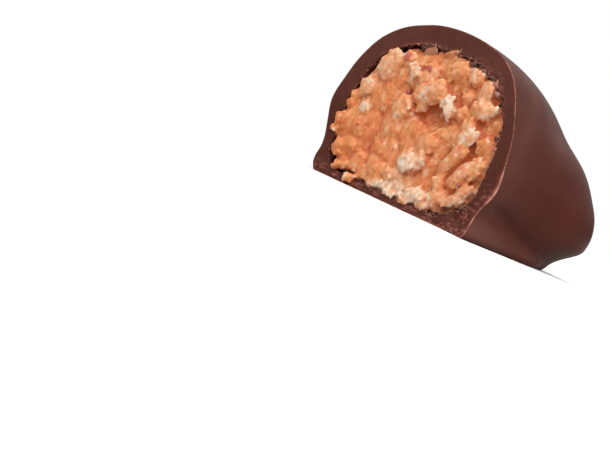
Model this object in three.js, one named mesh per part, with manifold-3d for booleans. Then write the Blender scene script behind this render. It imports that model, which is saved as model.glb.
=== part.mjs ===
// Half of a chocolate coconut bar: a dark chocolate coating, poured over and set with a wavy
// foot, round a craggy filling of toasted, shredded coconut that shows at the cut.
// Millimetres, +Z up. The bar runs along Y, the cut face looks along -Y, and the bar lies on
// its flat base. Both pieces are shaped with the cut at y = 0, then centred over the origin.

import * as THREE from "three";
import { mergeVertices } from "three/addons/utils/BufferGeometryUtils.js";
import Module from "manifold-3d";

const wasm = await Module();
wasm.setup();

// Driving sizes of the bar
const HALF_WIDTH = 15; // middle line to the side wall at its belly
const LENGTH = 26; // cut face to the far end
const HEIGHT = 23;
const LEAN = 0.35; // the top sits this far towards -X of the base
const SIDE_COATING = 2.3; // chocolate over the sides and the far end
const TOP_COATING = 2.5;
const BASE_COATING = 1.1;
const FILLING_EDGE_RADIUS = 3.4; // round bottom edge, where the chocolate ran under the filling
// Chocolate pooled under the right side: reach inwards, spread in radians, height over the base
const POOL = { reach: 2.0, spread: 1.0, height: 3.2 };
const GAP = 0.3; // clearance between coating and filling

// How the poured form rises: powers of the height that bend the sides and the far end inwards,
// and how square the plan is at the base and at the top
const SIDE_BEND = 5.1;
const END_BEND = 2.65;
const SQUARENESS = [4.4, 2.8];
const LEAN_HEIGHT = [3, 11]; // the lean grows between these heights

// The foot: the wall tucks in above the base, and the chocolate that ran down before it set
// swells out of that tuck in drips. Reaches are from the poured form's own outline.
const TUCK_DEPTH = 1.5;
const TUCK_HEIGHT = [2.5, 10]; // full below the first height, gone at the second
const LIP_HEIGHT = 0.8; // the lowest edge curls in under itself below this
const LIP_DEPTH = 0.4;
const WAVES = { depth: 0.2, perRadian: 5.3, shift: 0.4, height: 9 };
// Drips: place round the plan in degrees from +X, spread, reach, height of the swell, and how
// far the swell carries on downwards and upwards. Three reach inwards: the chocolate slid down
// from the right shoulder and from the far corner, and the big drip there is undercut.
const DRIPS = [
  { at: 4, spread: 24, reach: 1.8, middle: 0, below: 2, above: 2.1 },
  { at: 44, spread: 13, reach: 1.5, middle: 0, below: 2, above: 1.4 },
  { at: 7, spread: 41, reach: 0.7, middle: 6, below: 2, above: 3.3 },
  { at: 0, spread: 33, reach: -0.85, middle: 17.5, below: 6, above: 2.9 },
  { at: 57, spread: 21, reach: 3.1, middle: 4.5, below: 2.4, above: 7.4 },
  { at: 57, spread: 14, reach: -1.5, middle: 0, below: 2, above: 2.4 },
  { at: 53, spread: 22, reach: -2.0, middle: 16.7, below: 2.4, above: 5.7 },
  { at: 88, spread: 10, reach: 1.9, middle: 2.2, below: 3, above: 3 },
  { at: 112, spread: 9, reach: 2.6, middle: 3.2, below: 3, above: 5 },
  { at: 138, spread: 10, reach: 2.2, middle: 2.4, below: 3, above: 4 },
  { at: 158, spread: 8, reach: 1.5, middle: 2.0, below: 3, above: 3 },
  { at: 180, spread: 30, reach: 0.75, middle: 6.2, below: 3.3, above: 6.9 },
  { at: 180, spread: 14, reach: 0.85, middle: 1.7, below: 1.2, above: 1.8 },
];

// Marks of a cooling belt's wires, pressed across the underside
const BELT_PITCH = 2.4;
const BELT_WIRE_RADIUS = 0.6;
const BELT_MARK_DEPTH = 0.22;
const BELT_WIRE_SIDES = 8;

// The cut through the chocolate: nearly flat, with the right foot and the base standing proud
const FOOT_PROUD = { x: 15.5, across: 3.4, up: 2.8, reach: 2.6 };
const BASE_PROUD = { up: 1.4, reach: 0.5 };
const CUT_RELIEF = 0.18;
const CUT_RELIEF_SIZE = 3.3;

// The cut through the filling: clumps torn up and down, a hollow in the middle, loose shreds
const CLUMP_ACROSS = 3.1;
const CLUMP_UP = 5.2;
const CLUMP_RELIEF = 1.5;
const GRAIN_SIZE = 1.5;
const GRAIN_RELIEF = 0.55;
const HOLLOW = { x: 0.6, z: 12.0, across: 2.4, up: 3.4, depth: 3.0 };
const FILLING_STANDS_PROUD = 0.5;
const SHRED_SPACING = 2.5;
const SHRED_LENGTH = [1.0, 1.9]; // half lengths, shortest and longest
const SHRED_WIDTH = [0.55, 0.9];
const SHRED_THICKNESS = [0.35, 0.55];
const SHRED_SUNK = 0.1; // how deep its middle lies in the torn face
const SHRED_INSET = 0.5; // shreds start this far from the filling's side
const SHRED_SEED = 41;

// How finely the surfaces are faceted
const COATING_SIDES = 88;
const COATING_LOW_TOP = 9; // evenly spaced rings up to here
const COATING_LOW_RINGS = 13;
const COATING_HIGH_RINGS = 15;
const FILLING_SIDES = 40;
const FILLING_LOW_RINGS = 3;
const FILLING_HIGH_RINGS = 9;
const CUT_CELL = 0.85;
const COATING_CUT_CELL = 2.0;
const BLOCK = { width: 44, depth: 40, height: 32, below: 3 }; // the half that is cut away

// Repeatable random numbers from 0 to 1
function randomFrom(seed) {
  let state = seed;
  return () => {
    state = (state * 16807) % 2147483647;
    return state / 2147483647;
  };
}

function between([low, high], share) {
  return low + (high - low) * share;
}

function bell(distance, spread) {
  return Math.exp(-((distance / spread) ** 2));
}

// A fixed random value from -1 to 1 for each crossing of a lattice
function latticeValue(i, j) {
  const wave = Math.sin(i * 127.1 + j * 311.7) * 43758.5453;
  return 2 * (wave - Math.floor(wave)) - 1;
}

// Smooth bumps of the given cell size, from -1 to 1
function bumps(u, v) {
  const i = Math.floor(u);
  const j = Math.floor(v);
  const s = THREE.MathUtils.smoothstep(u - i, 0, 1);
  const t = THREE.MathUtils.smoothstep(v - j, 0, 1);
  const low = THREE.MathUtils.lerp(latticeValue(i, j), latticeValue(i + 1, j), s);
  const high = THREE.MathUtils.lerp(latticeValue(i, j + 1), latticeValue(i + 1, j + 1), s);
  return THREE.MathUtils.lerp(low, high, t);
}

// The poured form without its foot: upright sides, a domed top and a far end that slopes more
// than the sides. It gives the reach from the middle line across and along.
function pouredPlan(z, form) {
  const rise = THREE.MathUtils.clamp((z - form.base) / form.height, 0, 1);
  return {
    across: form.halfWidth * Math.sqrt(1 - rise ** SIDE_BEND),
    along: form.length * Math.sqrt(1 - rise ** END_BEND),
    squareness: between(SQUARENESS, rise ** 2),
    lean: -LEAN * THREE.MathUtils.smoothstep(z, ...LEAN_HEIGHT),
  };
}

// Reach of the plan outline in one direction, as a squared-off ellipse
function planRadius(angle, plan) {
  const x = Math.abs(Math.cos(angle)) / plan.across;
  const y = Math.abs(Math.sin(angle)) / plan.along;
  return (x ** plan.squareness + y ** plan.squareness) ** (-1 / plan.squareness);
}

// What the tuck, the lowest edge and the drips add to the coating's outline
function footReach(angle, z) {
  const degrees = THREE.MathUtils.radToDeg(Math.abs(angle));
  const lip = LIP_DEPTH * Math.max(0, 1 - z / LIP_HEIGHT) ** 2;
  const tuck = TUCK_DEPTH * (1 - THREE.MathUtils.smoothstep(z, ...TUCK_HEIGHT));
  const waves = WAVES.depth * Math.sin(WAVES.perRadian * angle + WAVES.shift);
  let reach = waves * bell(z, WAVES.height) - lip - tuck;
  for (const drip of DRIPS) {
    const away = z - drip.middle;
    const upright = bell(away, away < 0 ? drip.below : drip.above);
    reach += drip.reach * bell(degrees - drip.at, drip.spread) * upright;
  }
  return reach;
}

// How much less the filling reaches at its round bottom edge
function fillingEdge(angle, z, base) {
  const short = THREE.MathUtils.clamp(FILLING_EDGE_RADIUS - (z - base), 0, FILLING_EDGE_RADIUS);
  const round = Math.sqrt(FILLING_EDGE_RADIUS ** 2 - short ** 2) - FILLING_EDGE_RADIUS;
  return round - POOL.reach * bell(angle, POOL.spread) * bell(z - base, POOL.height);
}

// A closed form made of rings: a lathe whose round rings are squared off into the bar's plan
function ringForm(levels, sides, form, extraReach) {
  const top = form.base + form.height;
  const profile = [
    new THREE.Vector2(0, form.base),
    ...levels.map((z) => new THREE.Vector2(1, z)),
    new THREE.Vector2(0, top),
  ];
  const geometry = new THREE.LatheGeometry(profile, sides).rotateX(Math.PI / 2);
  const at = geometry.getAttribute("position");
  for (let i = 0; i < at.count; i++) {
    const z = at.getZ(i);
    const onAxis = Math.hypot(at.getX(i), at.getY(i)) < 0.5;
    const angle = Math.atan2(at.getY(i), at.getX(i));
    const plan = pouredPlan(z, form);
    const radius = onAxis ? 0 : planRadius(angle, plan) + extraReach(angle, z);
    at.setXYZ(i, plan.lean + radius * Math.cos(angle), radius * Math.sin(angle), z);
  }
  return solidOf(geometry);
}

// Heights of the rings: even steps up the foot, then closing in over the dome
function ringHeights(form, footTop, lowRings, highRings) {
  const heights = [];
  for (let i = 0; i < lowRings; i++) heights.push(form.base + (footTop * i) / lowRings);
  const start = Math.asin((footTop / form.height) ** 2);
  for (let i = 0; i < highRings; i++) {
    const turn = start + ((Math.PI / 2 - start) * i) / highRings;
    heights.push(form.base + form.height * Math.sqrt(Math.sin(turn)));
  }
  return heights;
}

// A three.js geometry as a manifold solid, and back
function solidOf(geometry) {
  const bare = new THREE.BufferGeometry();
  bare.setAttribute("position", geometry.getAttribute("position"));
  bare.setIndex(geometry.getIndex());
  const merged = mergeVertices(bare, 1e-4);
  return new wasm.Manifold(
    new wasm.Mesh({
      numProp: 3,
      vertProperties: merged.getAttribute("position").array,
      triVerts: new Uint32Array(merged.getIndex().array),
    }),
  );
}

function geometryOf(solid) {
  const mesh = solid.getMesh();
  const geometry = new THREE.BufferGeometry();
  geometry.setAttribute("position", new THREE.BufferAttribute(mesh.vertProperties, 3));
  geometry.setIndex(new THREE.BufferAttribute(mesh.triVerts, 1));
  geometry.computeVertexNormals();
  return geometry;
}

// The block in front of a broken surface y = surface(x, z)
function blockBefore(surface, cell) {
  const columns = Math.round(BLOCK.width / cell);
  const rows = Math.round(BLOCK.height / cell);
  const block = new THREE.BoxGeometry(
    BLOCK.width,
    BLOCK.depth,
    BLOCK.height,
    columns,
    1,
    rows,
  );
  block.translate(0, -BLOCK.depth / 2, BLOCK.height / 2 - BLOCK.below);
  const at = block.getAttribute("position");
  for (let i = 0; i < at.count; i++) {
    if (at.getY(i) > -1) at.setY(i, surface(at.getX(i), at.getZ(i)));
  }
  return solidOf(block);
}

// Where the chocolate broke
function coatingCut(x, z) {
  const foot = FOOT_PROUD.reach * bell(x - FOOT_PROUD.x, FOOT_PROUD.across) * bell(z, FOOT_PROUD.up);
  const base = BASE_PROUD.reach * bell(z, BASE_PROUD.up);
  return CUT_RELIEF * bumps(x / CUT_RELIEF_SIZE, z / CUT_RELIEF_SIZE) - foot - base;
}

// Where the filling tore
function fillingCut(x, z) {
  const clumps = CLUMP_RELIEF * bumps(x / CLUMP_ACROSS + 3.3, z / CLUMP_UP + 1.7);
  const grains = GRAIN_RELIEF * bumps(x / GRAIN_SIZE, z / GRAIN_SIZE);
  const hollow =
    HOLLOW.depth * bell(x - HOLLOW.x, HOLLOW.across) * bell(z - HOLLOW.z, HOLLOW.up);
  return clumps + grains + hollow - FILLING_STANDS_PROUD;
}

// One torn shred of coconut, a flat splinter with uneven corners
function shred(random) {
  const geometry = new THREE.IcosahedronGeometry(1, 0);
  const bare = new THREE.BufferGeometry();
  bare.setAttribute("position", geometry.getAttribute("position"));
  const chip = mergeVertices(bare, 1e-4);
  const at = chip.getAttribute("position");
  for (let i = 0; i < at.count; i++) {
    const swell = 0.75 + 0.5 * random();
    at.setXYZ(i, at.getX(i) * swell, at.getY(i) * swell, at.getZ(i) * swell);
  }
  chip.scale(
    between(SHRED_WIDTH, random()),
    between(SHRED_THICKNESS, random()),
    between(SHRED_LENGTH, random()),
  );
  const tilt = new THREE.Euler(
    0.7 * (random() - 0.5),
    1.5 * (random() - 0.5),
    0.9 * (random() - 0.5),
  );
  return chip.applyMatrix4(new THREE.Matrix4().makeRotationFromEuler(tilt));
}

// Shreds lying in the torn face, one for each cell of a loose grid
function shredsOn(form) {
  const random = randomFrom(SHRED_SEED);
  const shreds = [];
  const rows = Math.round(form.height / SHRED_SPACING);
  const columns = Math.round((2 * form.halfWidth) / SHRED_SPACING);
  for (let row = 0; row < rows; row++) {
    for (let column = 0; column < columns; column++) {
      const z = form.base + (row + 0.2 + 0.6 * random()) * SHRED_SPACING;
      const x = (column + 0.2 + 0.6 * random()) * SHRED_SPACING - form.halfWidth;
      const chip = shred(random);
      const plan = pouredPlan(z, form);
      if (Math.abs(x - plan.lean) > plan.across - SHRED_INSET) continue;
      shreds.push(solidOf(chip.translate(x, fillingCut(x, z) - SHRED_SUNK, z)));
    }
  }
  return shreds;
}

function largestBody(solid) {
  return solid.decompose().sort((a, b) => b.volume() - a.volume())[0];
}

// Grooves that the belt's wires left across the underside
function beltWires() {
  const wires = [];
  for (let y = -1.5 * BELT_PITCH; y < LENGTH + BELT_PITCH; y += BELT_PITCH) {
    const wire = new THREE.CylinderGeometry(
      BELT_WIRE_RADIUS,
      BELT_WIRE_RADIUS,
      BLOCK.width,
      BELT_WIRE_SIDES,
    );
    wire.rotateZ(Math.PI / 2);
    wire.translate(0, y, BELT_MARK_DEPTH - BELT_WIRE_RADIUS);
    wires.push(solidOf(wire));
  }
  return wires;
}

const outerForm = { base: 0, height: HEIGHT, halfWidth: HALF_WIDTH, length: LENGTH };
const cavityForm = {
  base: BASE_COATING,
  height: HEIGHT - TOP_COATING - BASE_COATING,
  halfWidth: HALF_WIDTH - SIDE_COATING,
  length: LENGTH - SIDE_COATING,
};
const fillingForm = {
  base: cavityForm.base + GAP,
  height: cavityForm.height - 2 * GAP,
  halfWidth: cavityForm.halfWidth - GAP,
  length: cavityForm.length - GAP,
};

function innerSolid(form) {
  const heights = ringHeights(form, FILLING_EDGE_RADIUS, FILLING_LOW_RINGS, FILLING_HIGH_RINGS);
  return ringForm(heights, FILLING_SIDES, form, (angle, z) => fillingEdge(angle, z, form.base));
}

// The chocolate: the poured form, less its cavity, the half that was taken and the belt marks
function makeCoating() {
  const heights = ringHeights(outerForm, COATING_LOW_TOP, COATING_LOW_RINGS, COATING_HIGH_RINGS);
  const outer = ringForm(heights, COATING_SIDES, outerForm, footReach);
  const taken = blockBefore(coatingCut, COATING_CUT_CELL);
  const cut = [innerSolid(cavityForm), taken, ...beltWires()];
  return cut.reduce((solid, tool) => solid.subtract(tool), outer);
}

// The filling: its own form torn across, with the shreds that lie in the torn face. Nothing of
// it reaches into the coating: past the filling's own sides a shred stays in front of the cut.
function makeFilling() {
  const whole = innerSolid(fillingForm);
  const torn = whole.subtract(blockBefore(fillingCut, CUT_CELL));
  const heap = shredsOn(fillingForm).reduce((solid, chip) => solid.add(chip), torn);
  const inFront = blockBefore((x, z) => coatingCut(x, z) - GAP, COATING_CUT_CELL);
  return largestBody(heap.intersect(whole.add(inFront)));
}

function piece(name, solid, colour, roughness) {
  const material = new THREE.MeshStandardMaterial({ color: colour, roughness, metalness: 0 });
  const mesh = new THREE.Mesh(geometryOf(solid), material);
  mesh.name = name;
  return mesh;
}

const bar = new THREE.Group();
bar.add(piece("chocolate_coating", makeCoating(), 0x55302a, 0.35));
bar.add(piece("coconut_filling", makeFilling(), 0xd68d60, 0.6));

// Centre the bar over the origin, standing on z = 0
const box = new THREE.Box3().setFromObject(bar);
const middle = box.getCenter(new THREE.Vector3());
bar.position.set(-middle.x, -middle.y, -box.min.z);

export default bar;
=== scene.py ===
# %% [markdown]
# # Half of a chocolate coconut bar
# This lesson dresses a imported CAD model: a dark chocolate coating round a filling of toasted,
# shredded coconut that shows where the bar was cut and torn in two.

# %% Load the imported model
import math

import bmesh
import bpy
import numpy as np
from mathutils import Matrix, Vector, kdtree
from mathutils.geometry import delaunay_2d_cdt


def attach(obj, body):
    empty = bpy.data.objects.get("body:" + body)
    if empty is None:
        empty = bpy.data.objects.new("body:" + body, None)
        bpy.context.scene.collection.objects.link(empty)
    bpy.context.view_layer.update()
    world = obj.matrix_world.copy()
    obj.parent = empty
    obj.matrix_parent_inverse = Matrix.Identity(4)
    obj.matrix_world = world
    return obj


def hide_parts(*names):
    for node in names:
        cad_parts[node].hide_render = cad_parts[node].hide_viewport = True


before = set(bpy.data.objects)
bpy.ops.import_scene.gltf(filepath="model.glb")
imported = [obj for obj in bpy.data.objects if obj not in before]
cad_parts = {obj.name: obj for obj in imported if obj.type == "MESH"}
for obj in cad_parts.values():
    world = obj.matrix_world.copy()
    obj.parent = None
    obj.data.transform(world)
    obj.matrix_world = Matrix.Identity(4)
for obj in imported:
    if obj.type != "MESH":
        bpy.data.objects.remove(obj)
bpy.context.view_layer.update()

MM = 0.001
print("nodes of the packed model:", sorted(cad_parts))

# %% [markdown]
# ## Small helpers
# Colours are written as a web designer would, in sRGB hex. Cycles wants linear light, so one
# function converts them. Another adds a node and sets it up with its settings and links in one
# go, and a third makes the pattern that most of these materials share: noise whose size is
# known in millimetres, stretched between two levels.

# %% Colour, node and object helpers
def linear(hex_colour):
    """An sRGB hex colour as linear red, green, blue and alpha."""
    parts = [int(hex_colour[i:i + 2], 16) / 255 for i in (1, 3, 5)]
    return [c / 12.92 if c <= 0.04045 else ((c + 0.055) / 1.055) ** 2.4 for c in parts] + [1.0]


def set_up(node, given):
    """Sets a node's properties and inputs, or links an output or a whole node to an input.

    A whole node stands for its first output.
    """
    for key, value in given.items():
        if isinstance(value, bpy.types.Node):
            value = value.outputs[0]
        if isinstance(value, bpy.types.NodeSocket):
            node.id_data.links.new(value, node.inputs[key])
        elif isinstance(key, str) and hasattr(node, key) and key not in node.inputs:
            setattr(node, key, value)
        else:
            node.inputs[key].default_value = value
    return node


def add_node(tree, kind, given=None):
    """Adds a node with its settings and its links."""
    return set_up(tree.nodes.new(kind), given or {})


def per_mm(size):
    """Scale of a texture on Object coordinates whose pattern repeats every size millimetres."""
    return 1 / (size * MM)


def patches(tree, where, size, low, high, bottom=0.0, top=1.0, detail=3, roughness=0.5):
    """Noise of a size in millimetres, stretched so that low to high becomes bottom to top."""
    noise = add_node(tree, "ShaderNodeTexNoise", {
        "Scale": per_mm(size), "Detail": detail, "Roughness": roughness, "Vector": where})
    return add_node(tree, "ShaderNodeMapRange", {
        "From Min": low, "From Max": high, "To Min": bottom, "To Max": top, "Value": noise})


def give_stops(ramp, stops):
    """Sets a colour ramp's stops, given as places and hex colours."""
    while len(ramp.elements) < len(stops):
        ramp.elements.new(0.5)
    for element, (at, hex_colour) in zip(ramp.elements, stops):
        element.position = at
        element.color = linear(hex_colour)


def principled(name):
    """A new material, its tree and its Principled shader."""
    material = bpy.data.materials.new(name)
    material.use_nodes = True
    return material, material.node_tree, material.node_tree.nodes["Principled BSDF"]


def put(name, data):
    """A new object at the origin, in the scene."""
    thing = bpy.data.objects.new(name, data)
    bpy.context.scene.collection.objects.link(thing)
    return thing


print("a pattern of 2 mm has scale", per_mm(2))

# %% [markdown]
# ## The camera
# The half shows its cut at three quarters, from a low angle, and turned a little clockwise in
# the picture. The camera is placed from one known point, near the left end of the cut's base
# line: the pixel where that point falls and its distance are given. A lens of 85 mm keeps the
# natural, slightly long look of a product photo.

# %% Camera at the photograph's viewing angle
PICTURE = (610, 450)
LENS, SENSOR = 85.0, 36.0
AZIMUTH, ELEVATION, ROLL = 43.5, 3.3, 24.0
DISTANCE = 0.186
ANCHOR = Vector((-0.012245, -0.012081, 0.0))
ANCHOR_PIXEL = (320.5, 172.3)


def camera_axes(azimuth, elevation, roll):
    """Right, up and backward directions of the camera."""
    a, e, r = (math.radians(v) for v in (azimuth, elevation, roll))
    back = Vector((math.sin(a) * math.cos(e), -math.cos(a) * math.cos(e), math.sin(e)))
    right = Vector((math.cos(a), math.sin(a), 0))
    up = back.cross(right)
    turned_right = math.cos(r) * right + math.sin(r) * up
    return turned_right, back.cross(turned_right), back


view_right, view_up, view_back = camera_axes(AZIMUTH, ELEVATION, ROLL)
pixels_per_unit = PICTURE[0] * LENS / SENSOR
sideways = (ANCHOR_PIXEL[0] - PICTURE[0] / 2) / pixels_per_unit * DISTANCE
higher = (PICTURE[1] / 2 - ANCHOR_PIXEL[1]) / pixels_per_unit * DISTANCE
eye = ANCHOR - view_right * sideways - view_up * higher + view_back * DISTANCE
lens = bpy.data.cameras.new("camera")
lens.lens = LENS
lens.sensor_width = SENSOR
lens.clip_start = 0.005
camera = put("camera", lens)
turn = Matrix((view_right, view_up, view_back)).transposed()
camera.matrix_world = Matrix.Translation(eye) @ turn.to_4x4()
bpy.context.scene.camera = camera
print("camera at", [round(v, 4) for v in eye], "metres")

# %% [markdown]
# ## Table and light
# Sweets are photographed on white paper under large soft boxes. A wide disc stands for the
# paper: it looks white, and lights the chocolate from below as a pale grey would, so that the
# foot keeps its depth. Two suns with wide discs stand for the soft boxes, because a sun lights
# the whole table evenly. The world glows more from the ceiling than from the walls.

# %% Table of white paper
bpy.context.scene.view_settings.view_transform = "Standard"
TABLE_RADIUS, TABLE_CORNERS, UNDER_THE_BAR = 4.0, 96, 0.00002
paper, tree, shader = principled("white paper")
to_camera = add_node(tree, "ShaderNodeLightPath").outputs["Is Camera Ray"]
colour = add_node(tree, "ShaderNodeMix", {
    "data_type": "RGBA", 0: to_camera, 6: linear("#aeaaa6"), 7: linear("#f6f6f6")}).outputs[2]
set_up(shader, {"Base Color": colour, "Roughness": 0.9, "Specular IOR Level": 0.1})
around = [math.tau * i / TABLE_CORNERS for i in range(TABLE_CORNERS)]
corners = [(TABLE_RADIUS * math.cos(a), TABLE_RADIUS * math.sin(a), -UNDER_THE_BAR)
           for a in around]
table_mesh = bpy.data.meshes.new("table")
table_mesh.from_pydata(corners, [], [list(range(TABLE_CORNERS))])
table_mesh.materials.append(paper)
put("table", table_mesh)
print("table:", 2 * TABLE_RADIUS, "m across")


# %% Soft boxes and the glow of the room
def soft_box(name, right, up, back, strength, width):
    """A sun that shines from a direction given along the camera's own axes."""
    light = bpy.data.lights.new(name, "SUN")
    light.energy = strength
    light.angle = math.radians(width)
    from_there = view_right * right + view_up * up + view_back * back
    put(name, light).matrix_world = from_there.to_track_quat("Z", "Y").to_matrix().to_4x4()


soft_box("key light", 0.0, 0.7, 0.85, strength=2.1, width=80)
soft_box("fill light", 0.8, 0.45, 0.7, strength=0.7, width=70)

world = bpy.data.worlds.new("studio")
world.use_nodes = True
bpy.context.scene.world = world
WALL_GLOW, CEILING_GLOW = 0.12, 1.22
tree = world.node_tree
glow = tree.nodes["Background"]
direction = add_node(tree, "ShaderNodeTexCoord").outputs["Generated"]
upwards = add_node(tree, "ShaderNodeSeparateXYZ", {0: direction}).outputs["Z"]
room = add_node(tree, "ShaderNodeMapRange", {
    "From Min": 0.05, "From Max": 0.8, "To Min": WALL_GLOW, "To Max": CEILING_GLOW,
    "Value": upwards})
to_camera = add_node(tree, "ShaderNodeLightPath").outputs["Is Camera Ray"]
strength = add_node(tree, "ShaderNodeMix", {0: to_camera, 2: room, 3: 1.0})
set_up(glow, {"Color": linear("#ffffff"), "Strength": strength})
print("soft boxes: 2, glow of walls and ceiling:", WALL_GLOW, CEILING_GLOW)

# %% [markdown]
# ## Numbers that the coating is poured from
# The CAD model already says how the chocolate ran: a domed body, a tucked-in foot and drips
# that set before they reached the belt. The same numbers are used here, in millimetres, so
# that the smooth surface made below lies where the CAD's facets lie.

# %% Sizes of the bar
HALF_WIDTH, LENGTH, HEIGHT, LEAN = 15.0, 26.0, 23.0, 0.35
SIDE_COATING, TOP_COATING, BASE_COATING = 2.3, 2.5, 1.1
FILLING_EDGE_RADIUS, GAP = 3.4, 0.3
POOL_REACH, POOL_SPREAD, POOL_HEIGHT = 2.0, 1.0, 3.2
SIDE_BEND, END_BEND = 5.1, 2.65
OUTER = {"base": 0.0, "height": HEIGHT, "half_width": HALF_WIDTH, "length": LENGTH}
CAVITY = {
    "base": BASE_COATING,
    "height": HEIGHT - TOP_COATING - BASE_COATING,
    "half_width": HALF_WIDTH - SIDE_COATING,
    "length": LENGTH - SIDE_COATING,
}
FILLING = {
    "base": CAVITY["base"] + GAP,
    "height": CAVITY["height"] - 2 * GAP,
    "half_width": CAVITY["half_width"] - GAP,
    "length": CAVITY["length"] - GAP,
}
# Drips of the foot: degrees round the plan from +X, spread, reach, height, below, above
DRIPS = [
    (4, 24, 1.8, 0, 2, 2.1), (44, 13, 1.5, 0, 2, 1.4), (7, 41, 0.7, 6, 2, 3.3),
    (0, 33, -0.85, 17.5, 6, 2.9), (57, 21, 3.1, 4.5, 2.4, 7.4), (57, 14, -1.5, 0, 2, 2.4),
    (53, 22, -2.0, 16.7, 2.4, 5.7), (88, 10, 1.9, 2.2, 3, 3), (112, 9, 2.6, 3.2, 3, 5),
    (138, 10, 2.2, 2.4, 3, 4), (158, 8, 1.5, 2.0, 3, 3), (180, 30, 0.75, 6.2, 3.3, 6.9),
    (180, 14, 0.85, 1.7, 1.2, 1.8),
]
BELT_PITCH, BELT_WIRE_RADIUS, BELT_MARK_DEPTH = 2.4, 0.6, 0.22


# %% Shaping functions
def bell(distance, spread):
    """A soft bump: 1 in the middle, fading with distance."""
    return np.exp(-((distance / spread) ** 2))


def smooth(value, low, high):
    """Rises softly from 0 at low to 1 at high."""
    t = np.clip((value - low) / (high - low), 0, 1)
    return t * t * (3 - 2 * t)


def lattice(i, j):
    """A random number from -1 to 1 for each corner of a square grid."""
    wave = np.sin(i * 127.1 + j * 311.7) * 43758.5453
    return 2 * (wave - np.floor(wave)) - 1


def bumps(u, v):
    """Smooth random bumps one unit wide, from -1 to 1."""
    i, j = np.floor(u), np.floor(v)
    s, t = smooth(u - i, 0, 1), smooth(v - j, 0, 1)
    low = lattice(i, j) * (1 - s) + lattice(i + 1, j) * s
    high = lattice(i, j + 1) * (1 - s) + lattice(i + 1, j + 1) * s
    return low * (1 - t) + high * t


def plan_point(angle, z, form, extra_reach):
    """Where the poured form's outline is, at a height and in a direction."""
    rise = np.clip((z - form["base"]) / form["height"], 0, 1)
    across = form["half_width"] * np.sqrt(1 - rise ** SIDE_BEND) + 1e-9
    along = form["length"] * np.sqrt(1 - rise ** END_BEND) + 1e-9
    power = 4.4 - 1.6 * rise ** 2
    lean = -LEAN * smooth(z, 3, 11)
    x, y = np.abs(np.cos(angle)) / across, np.abs(np.sin(angle)) / along
    radius = (x ** power + y ** power) ** (-1 / power) + extra_reach
    return lean + radius * np.cos(angle), radius * np.sin(angle)


def foot_reach(angle, z):
    """What the tuck, the lowest edge, the drips and the dipping ripples add to the outline."""
    degrees = np.degrees(np.abs(angle))
    reach = 0.2 * np.sin(5.3 * angle + 0.4) * bell(z, 9)
    reach -= 0.4 * np.maximum(0, 1 - z / 0.8) ** 2 + 1.5 * (1 - smooth(z, 2.5, 10))
    for at, spread, drip, middle, below, above in DRIPS:
        away = z - middle
        reach += drip * bell(degrees - at, spread) * bell(away, np.where(away < 0, below, above))
    ripples = 0.10 * bumps(angle * 3.1 + 2, z / 6.5 + 3) + 0.035 * bumps(angle * 9, z / 2.2)
    return reach + ripples * smooth(z, 0.3, 3) * (1 - smooth(z, 20, 22.6))


def edge_reach(angle, z, form):
    """How much less the filling reaches at its round bottom edge, most where chocolate pooled."""
    rise = z - form["base"]
    short = np.clip(FILLING_EDGE_RADIUS - rise, 0, FILLING_EDGE_RADIUS)
    pooled = POOL_REACH * bell(angle, POOL_SPREAD) * bell(rise, POOL_HEIGHT)
    return np.sqrt(FILLING_EDGE_RADIUS ** 2 - short ** 2) - FILLING_EDGE_RADIUS - pooled


def coating_cut(x, z):
    """How far back or forward the chocolate broke."""
    foot = 2.6 * bell(x - 15.5, 3.4) * bell(z, 2.8)
    return 0.18 * bumps(x / 3.3, z / 3.3) - foot - 0.5 * bell(z, 1.4)


def belt_mark(y):
    """Height of the underside over the table: the wires of a cooling belt pressed into it."""
    nearest = np.round(y / BELT_PITCH - 0.5) * BELT_PITCH + 0.5 * BELT_PITCH
    chord = np.sqrt(np.maximum(BELT_WIRE_RADIUS ** 2 - (y - nearest) ** 2, 0))
    return np.maximum(0, chord - BELT_WIRE_RADIUS + BELT_MARK_DEPTH)


print("half bar, mm:", 2 * HALF_WIDTH, "wide before the foot,", LENGTH, "long,", HEIGHT, "high")

# %% [markdown]
# ## Helpers for meshes made from numbers
# Large meshes are quickest made as arrays of points and triangles. Flat regions with an
# uneven outline, such as the cut band, are filled by a Delaunay triangulation: it takes the
# outline as fixed edges and joins any points inside it into well shaped triangles.

# %% Mesh helpers
def mesh_object(name, points, triangles, scale=MM):
    """An object at the origin whose mesh has these points and triangles."""
    mesh = bpy.data.meshes.new(name)
    points, triangles = np.asarray(points, float) * scale, np.asarray(triangles, np.int32)
    mesh.vertices.add(len(points))
    mesh.vertices.foreach_set("co", points.ravel())
    mesh.loops.add(triangles.size)
    mesh.loops.foreach_set("vertex_index", triangles.ravel())
    mesh.polygons.add(len(triangles))
    mesh.polygons.foreach_set("loop_start", np.arange(0, triangles.size, 3, dtype=np.int32))
    mesh.update(calc_edges=True)
    return put(name, mesh)


def inside(points, loop):
    """Which points lie inside a closed outline."""
    hit = np.zeros(len(points), bool)
    x, y = points[:, 0], points[:, 1]
    for (ax, ay), (bx, by) in zip(loop, np.roll(loop, -1, axis=0)):
        if ay != by:
            crosses = (ay > y) != (by > y)
            hit ^= crosses & (x < (bx - ax) * (y - ay) / (by - ay) + ax)
    return hit


def within(points, outlines):
    """Which points lie inside the first outline and outside the others, its holes."""
    kept = inside(points, outlines[0])
    for hole in outlines[1:]:
        kept &= ~inside(points, hole)
    return kept


def distance_to(points, loop):
    """Distance from each point to the nearest point of an outline."""
    tree = kdtree.KDTree(len(loop))
    for i, p in enumerate(loop):
        tree.insert((p[0], p[1], 0), i)
    tree.balance()
    return np.array([tree.find((p[0], p[1], 0))[2] for p in points])


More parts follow.
